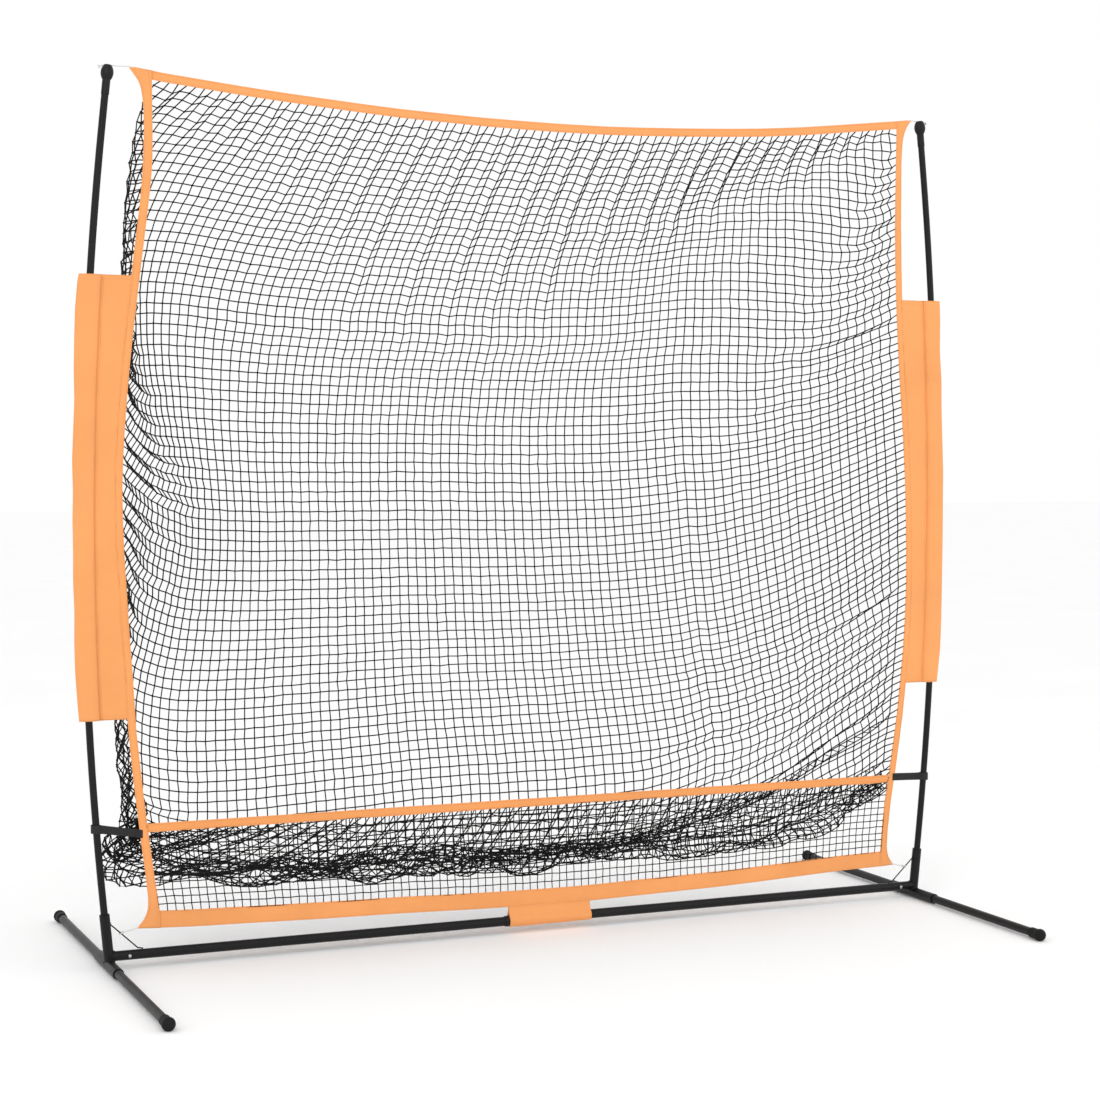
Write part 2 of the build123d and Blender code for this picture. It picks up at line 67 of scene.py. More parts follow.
RIGHT_OUTER = [(1016, 1998), (1007, 1987), (1001, 1977), (995, 1964), (990.5, 1945), (987.5, 1910), (987, 1870), (987.5, 1794),
               (988.5, 1718), (990, 1642), (993, 1566), (997, 1490), (1002, 1413), (1007.5, 1337), (1014, 1260), (1020, 1184),
               (1025.5, 1107), (1029, 1030), (1031.5, 953), (1033, 876), (1033.5, 798), (1031, 721), (1026.5, 643), (1019, 566),
               (1010.5, 488), (1000.5, 410), (989, 332), (976.5, 254), (968, 176), (966.5, 140), (969, 118), (976, 104), (989, 90)]
# outer edge of the fabric sleeves, (x, z) in metres
SLEEVE_LEFT_EDGE = [(-1.105, 1.541), (-1.108, 1.529), (-1.114, 1.464), (-1.116, 1.398), (-1.1175, 1.332), (-1.1165, 1.266), (-1.1195, 1.2),
                    (-1.1225, 1.134), (-1.121, 1.068), (-1.1225, 1.0), (-1.1215, .935), (-1.122, .869), (-1.1195, .802),
                    (-1.1205, .735), (-1.119, .669), (-1.1145, .602), (-1.111, .56)]
SLEEVE_RIGHT_EDGE = [(1.105, 1.541), (1.1075, 1.49), (1.1075, 1.413), (1.1135, 1.337), (1.1150, 1.26), (1.1185, 1.184), (1.122, 1.107),
                     (1.1225, 1.03), (1.123, .953), (1.123, .876), (1.1225, .798), (1.122, .721), (1.1195, .643), (1.1105, .56)]
TOP_BAND_H, BOTTOM_BAND_H = 20.0, 39.0
CROSS_Z0, CROSS_Z1 = .304, .324
CLOTH = .0024
SLEEVE_Z0, SLEEVE_Z1 = .560, 1.541
TAB_X0, TAB_X1, BAR_Z = -.088, .125, .032


def curve_at(table, t, by_z=False):
    """x at height t (by_z) or z at t, of an (x, z) list in mm; t and the result are in metres."""
    k = 1 if by_z else 0
    a = np.array(sorted(table, key=lambda p: p[k]), float) / 1000
    return np.interp(t, a[:, k], a[:, 1 - k])


def along(points, n, ends=None):
    """n points spaced evenly along a polyline."""
    p = np.asarray(points, float)
    d = np.r_[0, np.cumsum(np.linalg.norm(np.diff(p, axis=0), axis=1))]
    s = np.linspace(0, d[-1], n) if ends is None else np.asarray(ends) * d[-1]
    return np.stack([np.interp(s, d, p[:, i]) for i in range(p.shape[1])], -1)


def smooth(p, n=2):
    p = p.copy()
    for _ in range(n):
        p[1:-1] = .25 * p[:-2] + .5 * p[1:-1] + .25 * p[2:]
    return p


def waves(a, b, seed, size, rough=.5, octaves=4):
    """Smooth seeded noise of two coordinates in metres, about -1 to 1; size is the longest wavelength."""
    r = np.random.RandomState(seed)
    out, amp, tot = 0, 1.0, 0
    for _ in range(octaves):
        for _ in range(4):
            ang, ph = r.uniform(0, 2 * math.pi), r.uniform(0, 2 * math.pi)
            k = 2 * math.pi / (size * r.uniform(.75, 1.3))
            out = out + amp * np.sin(k * (math.cos(ang) * a + math.sin(ang) * b) + ph)
            tot += amp * .5
        amp *= rough
        size *= .5
    return out / tot


# ------------------------------------------------------------------ materials
def nodes_of(name):
    m = bpy.data.materials.new(name)
    m.use_nodes = True
    nt = m.node_tree
    b = nt.nodes["Principled BSDF"]
    c = nt.nodes.new("ShaderNodeTexCoord")
    return m, nt, b, c.outputs["Object"]


def add(nt, kind, **inputs):
    n = nt.nodes.new(kind)
    for k, v in inputs.items():
        key = k.replace("_", " ")
        if hasattr(v, "links"):
            nt.links.new(v, n.inputs[key])
        else:
            n.inputs[key].default_value = v
    return n


def noise(nt, vec, scale, detail=4.0, rough=.55):
    n = nt.nodes.new("ShaderNodeTexNoise")
    nt.links.new(vec, n.inputs["Vector"])
    n.inputs["Scale"].default_value = scale
    n.inputs["Detail"].default_value = detail
    n.inputs["Roughness"].default_value = rough
    return n.outputs["Fac"]


def math_node(nt, op, a, b=None, clamp=False):
    n = nt.nodes.new("ShaderNodeMath")
    n.operation = op
    n.use_clamp = clamp
    for i, v in enumerate((a, b)):
        if v is None:
            continue
        if hasattr(v, "links"):
            nt.links.new(v, n.inputs[i])
        else:
            n.inputs[i].default_value = v
    return n.outputs[0]


def ramp(nt, fac, stops):
    n = nt.nodes.new("ShaderNodeValToRGB")
    nt.links.new(fac, n.inputs["Fac"])
    e = n.color_ramp.elements
    while len(e) < len(stops):
        e.new(.5)
    for k, (pos, col) in zip(e, stops):
        k.position = pos
        k.color = (*col, 1) if len(col) == 3 else col
    return n.outputs["Color"]


def mixed(nt, fac, a, b, blend="MIX"):
    n = nt.nodes.new("ShaderNodeMix")
    n.data_type = "RGBA"
    n.blend_type = blend
    for key, v in ((0, fac), (6, a), (7, b)):
        if hasattr(v, "links"):
            nt.links.new(v, n.inputs[key])
        else:
            n.inputs[key].default_value = v if key == 0 else (*v, 1)
    return n.outputs[2]


def bump(nt, bsdf, height, strength, distance, normal=None):
    n = nt.nodes.new("ShaderNodeBump")
    n.inputs["Strength"].default_value = strength
    n.inputs["Distance"].default_value = distance
    nt.links.new(height, n.inputs["Height"])
    if normal is not None:
        nt.links.new(normal, n.inputs["Normal"])
    if bsdf is not None:
        nt.links.new(n.outputs["Normal"], bsdf.inputs["Normal"])
    return n.outputs["Normal"]


def remap(nt, v, lo, hi, a=0.0, b=1.0):
    n = nt.nodes.new("ShaderNodeMapRange")
    nt.links.new(v, n.inputs["Value"])
    for k, x in zip(("From Min", "From Max", "To Min", "To Max"), (a, b, lo, hi)):
        n.inputs[k].default_value = x
    return n.outputs["Result"]


def powder_steel():
    """Semi-matt black powder coat: fine orange peel, faint dust and paler rubbed patches."""
    m, nt, b, co = nodes_of("black_powder_coat")
    big = noise(nt, co, 9.0, 5)
    fine = noise(nt, co, 1400.0, 2)
    scuff = ramp(nt, noise(nt, co, 60.0, 8, .7), [(.56, (0, 0, 0)), (.74, (1, 1, 1))])
    col = ramp(nt, big, [(.25, (.0030, .0030, .0033)), (.75, (.0060, .0060, .0065))])
    col = mixed(nt, math_node(nt, "MULTIPLY", scuff, .22), col, (.022, .0215, .021))
    nt.links.new(col, b.inputs["Base Color"])
    nt.links.new(remap(nt, noise(nt, co, 25.0, 6), .34, .52), b.inputs["Roughness"])
    b.inputs["Specular IOR Level"].default_value = .22
    b.inputs["Coat Weight"].default_value = .05
    b.inputs["Coat Roughness"].default_value = .3
    n1 = bump(nt, None, fine, .18, .00025)
    bump(nt, b, noise(nt, co, 420.0, 3), .22, .0004, n1)
    return m


def zinc_steel():
    m, nt, b, co = nodes_of("bright_zinc_steel")
    streak = nt.nodes.new("ShaderNodeMapping")
    nt.links.new(co, streak.inputs["Vector"])
    streak.inputs["Scale"].default_value = (30, 400, 400)
    n = noise(nt, streak.outputs["Vector"], 6.0, 6)
    nt.links.new(ramp(nt, n, [(.2, (.42, .42, .44)), (.8, (.64, .64, .66))]), b.inputs["Base Color"])
    b.inputs["Metallic"].default_value = 1.0
    nt.links.new(remap(nt, noise(nt, co, 90.0, 6), .22, .42), b.inputs["Roughness"])
    bump(nt, b, n, .12, .0002)
    return m


def rubber():
    m, nt, b, co = nodes_of("black_rubber_feet")
    col = ramp(nt, noise(nt, co, 120.0, 6), [(.3, (.0045, .0045, .0047)), (.75, (.010, .0098, .0095))])
    nt.links.new(col, b.inputs["Base Color"])
    nt.links.new(remap(nt, noise(nt, co, 300.0, 4), .55, .78), b.inputs["Roughness"])
    b.inputs["Specular IOR Level"].default_value = .2
    bump(nt, b, noise(nt, co, 1600.0, 3), .3, .0003)
    return m


def plastic():
    m, nt, b, co = nodes_of("black_moulded_plastic")
    col = ramp(nt, noise(nt, co, 45.0, 4), [(.3, (.0040, .0040, .0043)), (.75, (.0085, .0085, .009))])
    nt.links.new(col, b.inputs["Base Color"])
    nt.links.new(remap(nt, noise(nt, co, 240.0, 5), .36, .52), b.inputs["Roughness"])
    b.inputs["Specular IOR Level"].default_value = .25
    bump(nt, b, noise(nt, co, 2600.0, 2), .25, .00015)
    return m


def weave(nt, co, pitch, thin=.5):
    """Over-under weave height of a fabric that lies near the XZ plane, from object coordinates."""
    sep = nt.nodes.new("ShaderNodeSeparateXYZ")
    nt.links.new(co, sep.inputs[0])
    k = 2 * math.pi / pitch
    sx = math_node(nt, "SINE", math_node(nt, "MULTIPLY", sep.outputs["X"], k))
    sz = math_node(nt, "SINE", math_node(nt, "MULTIPLY", sep.outputs["Z"], k))
    return math_node(nt, "MULTIPLY", sx, sz), sep


def oxford(name, base, tint):
    """Plain-woven coated polyester: 1.1 mm basket weave, faint slubs, slow wrinkles, soft sheen, and painted shade in
    the gaps between the yarns.
    """
    m, nt, b, co = nodes_of(name)
    w, sep = weave(nt, co, .0022)
    slub = nt.nodes.new("ShaderNodeMapping")
    nt.links.new(co, slub.inputs["Vector"])
    slub.inputs["Scale"].default_value = (40, 400, 900)
    slubs = noise(nt, slub.outputs["Vector"], 1.0, 5, .6)
    cloud = noise(nt, co, 5.5, 5, .6)
    dark = tuple(c * .90 for c in base)
    col = ramp(nt, cloud, [(.28, dark), (.62, base), (.85, tint)])
    col = mixed(nt, remap(nt, slubs, 0.0, .10), col, tuple(c * .72 for c in base))
    # painted shade: the colour is darkened along the gaps between the yarns of the weave, where shade would fall
    gap = math_node(nt, "MULTIPLY", math_node(nt, "ABSOLUTE", w), .06)
    col = mixed(nt, math_node(nt, "SUBTRACT", .06, gap), col, tuple(c * .6 for c in base))
    nt.links.new(col, b.inputs["Base Color"])
    nt.links.new(remap(nt, slubs, .60, .78), b.inputs["Roughness"])
    b.inputs["Sheen Weight"].default_value = .10
    b.inputs["Sheen Roughness"].default_value = .45
    b.inputs["Sheen Tint"].default_value = (1.0, .78, .55, 1)
    b.inputs["Specular IOR Level"].default_value = .3
    n1 = bump(nt, None, w, .35, .0002)
    bump(nt, b, noise(nt, co, 24.0, 5, .6), .25, .0022, n1)
    return m


def webbing():
    """Ribbed black polypropylene webbing, with painted shade in the grooves between the ribs."""
    m, nt, b, co = nodes_of("black_webbing_weave")
    w, sep = weave(nt, co, .0024)
    rib = math_node(nt, "SINE", math_node(nt, "MULTIPLY", sep.outputs["Z"], 2 * math.pi / .0016))
    h = math_node(nt, "ADD", math_node(nt, "MULTIPLY", rib, .6), w)
    # painted shade: the colour follows the rib and weave height, darker in the grooves and paler on the ridges
    col = ramp(nt, remap(nt, h, 0.0, 1.0, -1.5, 1.5), [(.15, (.003, .003, .0033)), (.9, (.012, .012, .0125))])
    nt.links.new(col, b.inputs["Base Color"])
    nt.links.new(remap(nt, noise(nt, co, 400.0, 4), .58, .8), b.inputs["Roughness"])
    bump(nt, b, h, .5, .0004)
    return m


def twine(name, lo, hi, pitch=.0022):
    """Twisted or braided cord: fine diagonal strands from the object's own coordinates, with fluff, and painted shade
    between the strands.
    """
    m, nt, b, co = nodes_of(name)
    sep = nt.nodes.new("ShaderNodeSeparateXYZ")
    nt.links.new(co, sep.inputs[0])
    s = math_node(nt, "ADD", math_node(nt, "ADD", sep.outputs["X"], sep.outputs["Z"]), math_node(nt, "MULTIPLY", sep.outputs["Y"], 1.3))
    t = math_node(nt, "SUBTRACT", math_node(nt, "SUBTRACT", sep.outputs["X"], sep.outputs["Z"]), math_node(nt, "MULTIPLY", sep.outputs["Y"], .7))
    k = 2 * math.pi / pitch
    h = math_node(nt, "MULTIPLY", math_node(nt, "SINE", math_node(nt, "MULTIPLY", s, k)), math_node(nt, "SINE", math_node(nt, "MULTIPLY", t, k)))
    # painted shade: the colour follows the strand height, darker in the grooves between strands; the added noise is
    # random fluff
    f = math_node(nt, "ADD", remap(nt, h, 0.0, .55, -1, 1), math_node(nt, "MULTIPLY", noise(nt, co, 900.0, 3), .45))
    nt.links.new(ramp(nt, f, [(.2, lo), (.85, hi)]), b.inputs["Base Color"])
    nt.links.new(remap(nt, noise(nt, co, 300.0, 3), .62, .85), b.inputs["Roughness"])
    b.inputs["Specular IOR Level"].default_value = .15
    b.inputs["Sheen Weight"].default_value = .03
    bump(nt, b, h, .45, .0003)
    return m


ORANGE = (.91, .370, .120)
STEEL, ZINC, RUBBER, PLASTIC = powder_steel(), zinc_steel(), rubber(), plastic()
FABRIC = oxford("orange_oxford_cloth", ORANGE, (.93, .385, .130))
BINDING = oxford("orange_binding_tape", (.895, .358, .112), (.92, .375, .125))
# for the cords below, the first colour is the painted shade between the strands and the second is the cord's own colour
THREAD = twine("orange_sewing_thread", (.62, .24, .075), (.93, .42, .16), .0011)
WEBBING = webbing()
TWINE = twine("black_net_twine", (.0025, .0025, .0027), (.009, .009, .0095))
BLACK_THREAD = twine("black_sewing_thread", (.004, .004, .0045), (.02, .02, .021), .0011)
ELASTIC = twine("white_elastic_braid", (.62, .62, .60), (.90, .90, .88), .0018)


# ------------------------------------------------------------------ mesh making
def make(name, verts, faces, mat, body="frame", flat=False):
    """One mesh object from arrays; faces is a list of (n, k) integer arrays."""
    me = bpy.data.meshes.new(name)
    verts = np.asarray(verts, np.float32).reshape(-1, 3)
    faces = [np.asarray(f, np.int32) for f in (faces if isinstance(faces, list) else [faces]) if len(f)]
    loops = np.concatenate([f.ravel() for f in faces])
    sizes = np.concatenate([np.full(len(f), f.shape[1], np.int32) for f in faces])
    me.vertices.add(len(verts))
    me.vertices.foreach_set("co", verts.ravel())
    me.loops.add(len(loops))
    me.loops.foreach_set("vertex_index", loops)
    me.polygons.add(len(sizes))
    me.polygons.foreach_set("loop_start", np.r_[0, np.cumsum(sizes)[:-1]].astype(np.int32))
    me.polygons.foreach_set("use_smooth", np.full(len(sizes), not flat))
    me.update(calc_edges=True)
    me.validate()
    me.materials.append(mat)
    o = bpy.data.objects.new(name, me)
    bpy.context.scene.collection.objects.link(o)
    if body:
        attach(o, body)
    return o


class Mesh:
    """Collects vertices and faces."""

    def __init__(self):
        self.v, self.q, self.t, self.n = [], [], [], 0

    def add(self, verts, quads=None, tris=None):
        verts = np.asarray(verts, float).reshape(-1, 3)
        if quads is not None and len(quads):
            self.q.append(np.asarray(quads, int) + self.n)
        if tris is not None and len(tris):
            self.t.append(np.asarray(tris, int) + self.n)
        self.v.append(verts)
        self.n += len(verts)

    def make(self, name, mat, slot, body="frame", flat=False):
        f = []
        if self.q:
            f.append(np.concatenate(self.q))
        if self.t:
            f.append(np.concatenate(self.t))
        return make(name, np.concatenate(self.v), f, mat, body, flat)


def grid_quads(nu, nv, close_v=False):
    """Quads of an nu by nv grid of points, u slow."""
    i, j = np.meshgrid(np.arange(nu - 1), np.arange(nv if close_v else nv - 1), indexing="ij")
    a = i * nv + j
    b = i * nv + (j + 1) % nv
    return np.stack([a, b, b + nv, a + nv], -1).reshape(-1, 4)


def tube_mesh(mesh, path, radius, sides=12, ref=None, closed=False):
    """Round tube along a smooth path with capped ends; radius is a number or one per point."""
    p = np.asarray(path, float)
    n = len(p)
    t = np.gradient(p, axis=0) if not closed else (np.roll(p, -1, 0) - np.roll(p, 1, 0))
    t /= np.linalg.norm(t, axis=1)[:, None] + 1e-12
    u = np.array(ref if ref is not None else (0, 1, 0), float)
    frames = []
    for k in range(n):
        u = u - t[k] * (u @ t[k])
        l = np.linalg.norm(u)
        if l < 1e-6:
            u = np.cross(t[k], (1, 0, 0))
            l = np.linalg.norm(u)
        u = u / l
        frames.append((u, np.cross(t[k], u)))
    a = np.arange(sides) * 2 * math.pi / sides
    r = np.broadcast_to(np.asarray(radius, float), (n,))
    ring = np.stack([p[k] + r[k] * (np.cos(a)[:, None] * frames[k][0] + np.sin(a)[:, None] * frames[k][1]) for k in range(n)])
    if closed:
        q = grid_quads(n, sides, True)
        last = np.stack([(n - 1) * sides + np.arange(sides), (n - 1) * sides + (np.arange(sides) + 1) % sides,
                         (np.arange(sides) + 1) % sides, np.arange(sides)], -1)
        mesh.add(ring, np.concatenate([q, last]))
        return
    q = grid_quads(n, sides, True)
    v = np.concatenate([ring.reshape(-1, 3), p[:1], p[-1:]])
    s = np.arange(sides)
    s2 = (s + 1) % sides
    c0, c1 = n * sides, n * sides + 1
    tri = np.concatenate([np.stack([s2, s, np.full(sides, c0)], -1), np.stack([(n - 1) * sides + s, (n - 1) * sides + s2, np.full(sides, c1)], -1)])
    mesh.add(v, q, tri)


def hem_stations(width, n_mid):
    """Distances across a hemmed strip, dense at both rims where it is folded and stitched."""
    e = [0, .0003, .0008, .0016, .0027, .0034, .0041, .0052]
    e = [x for x in e if x < width * .42]
    mid = list(np.linspace(e[-1], width - e[-1], n_mid + 2)[1:-1])
    return np.array(e + mid + [width - x for x in e[::-1]]) / width


def hem_half(d, width, t=CLOTH, line=.0034):
    """Half thickness at distance d from the nearer rim: round rim, thick folded hem, dent along the stitch line."""
    near = np.minimum(d, width - d)
    rim = np.sqrt(np.clip(1 - (1 - np.clip(near / .0011, 0, 1)) ** 2, 0.0004, 1))
    fold = .00028 * np.exp(-((near - .0024) / .0016) ** 2)
    dent = -.00042 * np.exp(-((near - line) / .0005) ** 2)
    return t / 2 * rim * .92 + fold + dent


def ribbon(name, A, B, mat, slot, n_mid=3, pucker=.0007, seed=1, edge_pucker=.0, t=CLOTH):
    """Hemmed strip between two matching edges A and B, (n, 3) arrays in metres, in the XZ plane."""
    n = len(A)
    width = np.linalg.norm(B - A, axis=1)
    w = width.mean()
    v = hem_stations(w, n_mid)
    P = A[:, None] + (B - A)[:, None] * v[None, :, None]
    d = v[None, :] * w
    h = hem_half(d, w, t) * np.ones((n, 1))
    off = pucker * waves(P[..., 0], P[..., 2], seed, .16, .55, 4)
    off = off + edge_pucker * np.exp(-(1 - v[None, :]) * w / .006) * waves(P[..., 0] * 1.0, P[..., 2] * 1.0, seed + 9, .045, .6, 2)
    front, back = P.copy(), P.copy()
    front[..., 1] += off - h
    back[..., 1] += off + h
    m = Mesh()
    k = len(v)
    # one closed loop of points at each station: front A to B, then back B to A
    loop = np.concatenate([front, back[:, ::-1]], axis=1)
    q = grid_quads(n, 2 * k, True)
    caps = []
    for row, flip in ((0, False), (n - 1, True)):
        base = row * 2 * k
        for j in range(k - 1):
            f = [base + j, base + 2 * k - 1 - j, base + 2 * k - 2 - j, base + j + 1]
            caps.append(f[::-1] if flip else f)
    m.add(loop, np.concatenate([q, np.array(caps)]))
    o = m.make(name, mat, slot)
    return o, off


def stitch_row(mesh, path, side, length=.0038, pitch=.0052, r=.00033, lift=.0012):
    """Row of lockstitches along a path in the XZ plane; side is -1 for the front and 1 for the back."""
    p = np.asarray(path, float)
    total = np.linalg.norm(np.diff(p, axis=0), axis=1).sum()
    n = max(2, int(total / pitch))
    q = along(p, n * 2 + 1)
    mid, nxt = q[1::2], q[2::2]
    t = (nxt - mid)
    t /= np.linalg.norm(t, axis=1)[:, None] + 1e-12
    up = np.array([0.0, side, 0.0])
    s = np.cross(t, up)
    rings = []
    for f, rad, z in ((-.5, .25, -.9), (-.3, 1.0, .25), (0, 1.1, .5), (.3, 1.0, .25), (.5, .25, -.9)):
        c = mid + t * length * f + up * (lift + r * z)
        rings.append(np.stack([c + s * r * rad, c + up * r * rad, c - s * r * rad, c - up * r * rad], 1))
    v = np.stack(rings, 1)  # (n, 5, 4, 3)
    k = len(mid)
    base = (np.arange(k) * 20)[:, None]
    one = grid_quads(5, 4, True)
    if side > 0:
        one = one[:, ::-1]
    mesh.add(v, (base[:, :, None] + one[None]).reshape(-1, 4))


# ------------------------------------------------------------------ netting
def netting(name, X, r, slot="black_netting", sides=6, knot=1.7, mat=TWINE, body="frame", edges=(True, True, True, True), skip=(False, False)):
    """Knotted square netting: a twine along each grid line and a knot where they cross. X is (columns, rows, 3).
    edges marks the sides (first column, last column, first row, last row) that are sewn into the border, where the
    selvage twine is thinner than the hem; skip leaves out a first column or row that the next panel draws."""
    m = Mesh()
    nc, nr = X.shape[:2]
    du = np.gradient(X, axis=0)
    dv = np.gradient(X, axis=1)
    a = np.arange(sides) * 2 * math.pi / sides

    def rings(P, T, other, r):
        T = T / (np.linalg.norm(T, axis=-1, keepdims=True) + 1e-12)
        s = other - T * (other * T).sum(-1, keepdims=True)
        s /= np.linalg.norm(s, axis=-1, keepdims=True) + 1e-9
        u = np.cross(T, s)
        return P[..., None, :] + r[:, None, None, None] * (np.cos(a)[:, None] * s[..., None, :] + np.sin(a)[:, None] * u[..., None, :])

    fan = np.array([(0, i, i + 1) for i in range(1, sides - 1)])

    def threads(R, count, length):
        q = grid_quads(length, sides, True)
        caps = np.concatenate([fan[:, ::-1], fan + (length - 1) * sides])
        start = (np.arange(count) * length * sides)[:, None, None]
        m.add(R, (q[None] + start).reshape(-1, 4), (caps[None] + start).reshape(-1, 3))

    rc, rr = np.full(nc, r), np.full(nr, r)
    for arr, first, last in ((rc, edges[0], edges[1]), (rr, edges[2], edges[3])):
        arr[0] = .0007 if first else r
        arr[-1] = .0007 if last else r
    i0, j0 = int(skip[0]), int(skip[1])
    threads(rings(X[i0:], dv[i0:], du[i0:], rc[i0:]), nc - i0, nr)
    T = lambda A: A.transpose(1, 0, 2)[j0:]
    threads(rings(T(X), T(du), T(dv), rr[j0:]), nr - j0, nc)
    # knots: a small faceted bead, wider than it is thick
    phi = (1 + 5 ** .5) / 2
    ico = np.array([(-1, phi, 0), (1, phi, 0), (-1, -phi, 0), (1, -phi, 0), (0, -1, phi), (0, 1, phi), (0, -1, -phi), (0, 1, -phi),
                    (phi, 0, -1), (phi, 0, 1), (-phi, 0, -1), (-phi, 0, 1)]) / math.hypot(1, phi)
    tri = np.array([(0, 11, 5), (0, 5, 1), (0, 1, 7), (0, 7, 10), (0, 10, 11), (1, 5, 9), (5, 11, 4), (11, 10, 2), (10, 7, 6), (7, 1, 8),
                    (3, 9, 4), (3, 4, 2), (3, 2, 6), (3, 6, 8), (3, 8, 9), (4, 9, 5), (2, 4, 11), (6, 2, 10), (8, 6, 7), (9, 8, 1)])
    if knot:
        rs = np.random.RandomState(nc * 1000 + nr)
        C = X[1 if edges[0] or skip[0] else 0:-1 if edges[1] else None, 1 if edges[2] or skip[1] else 0:-1 if edges[3] else None].reshape(-1, 3)
        size = r * knot * rs.uniform(.85, 1.15, (len(C), 1, 1))
        ang = rs.uniform(0, math.pi, len(C))
        ca, sa = np.cos(ang)[:, None], np.sin(ang)[:, None]
        K = np.stack([ico[None, :, 0] * ca - ico[None, :, 2] * sa, ico[None, :, 1] * .8 + 0 * ca, ico[None, :, 0] * sa + ico[None, :, 2] * ca], -1)
        m.add(C[:, None] + K * size, None, (tri[None] + (np.arange(len(C)) * 12)[:, None, None]).reshape(-1, 3))
    return m.make(name, mat, slot, body)


# the catch net: a square-mesh net larger than its opening, gathered onto the border and let go
NC, NR, MESH = 96, 103, .024


def net_border():
    u = np.linspace(0, 1, NC + 1)
    xt = -.942 + (.972 + .942) * u
    top = np.stack([xt, 0 * u, curve_at(TOP_EDGE, xt) - TOP_BAND_H / 1000 + .0015], -1)
    xb = -.9595 + (.9685 + .9595) * u
    bottom = np.stack([xb, 0 * u, 0 * u + CROSS_Z0 + .0015], -1)
    j = np.arange(NR + 1)

    def side(table, z0, d, rows):
        # evenly spaced down the strip, and what is left over is bunched at the cross band
        n = 1670 / rows
        gap = n - (n - 1.3) / (1 + np.exp(-(j - rows + 1) / 2.0))
        s = np.r_[0, np.cumsum(gap[:-1])]
        z = z0 + (CROSS_Z0 + .0015 - z0) * s / s[-1]
        return np.stack([curve_at(table, z, True) + d, 0 * z, z], -1)

    return top, bottom, side(LEFT_INNER, 1.972, -.0015, 84), side(RIGHT_INNER, 1.974, .0015, 92)


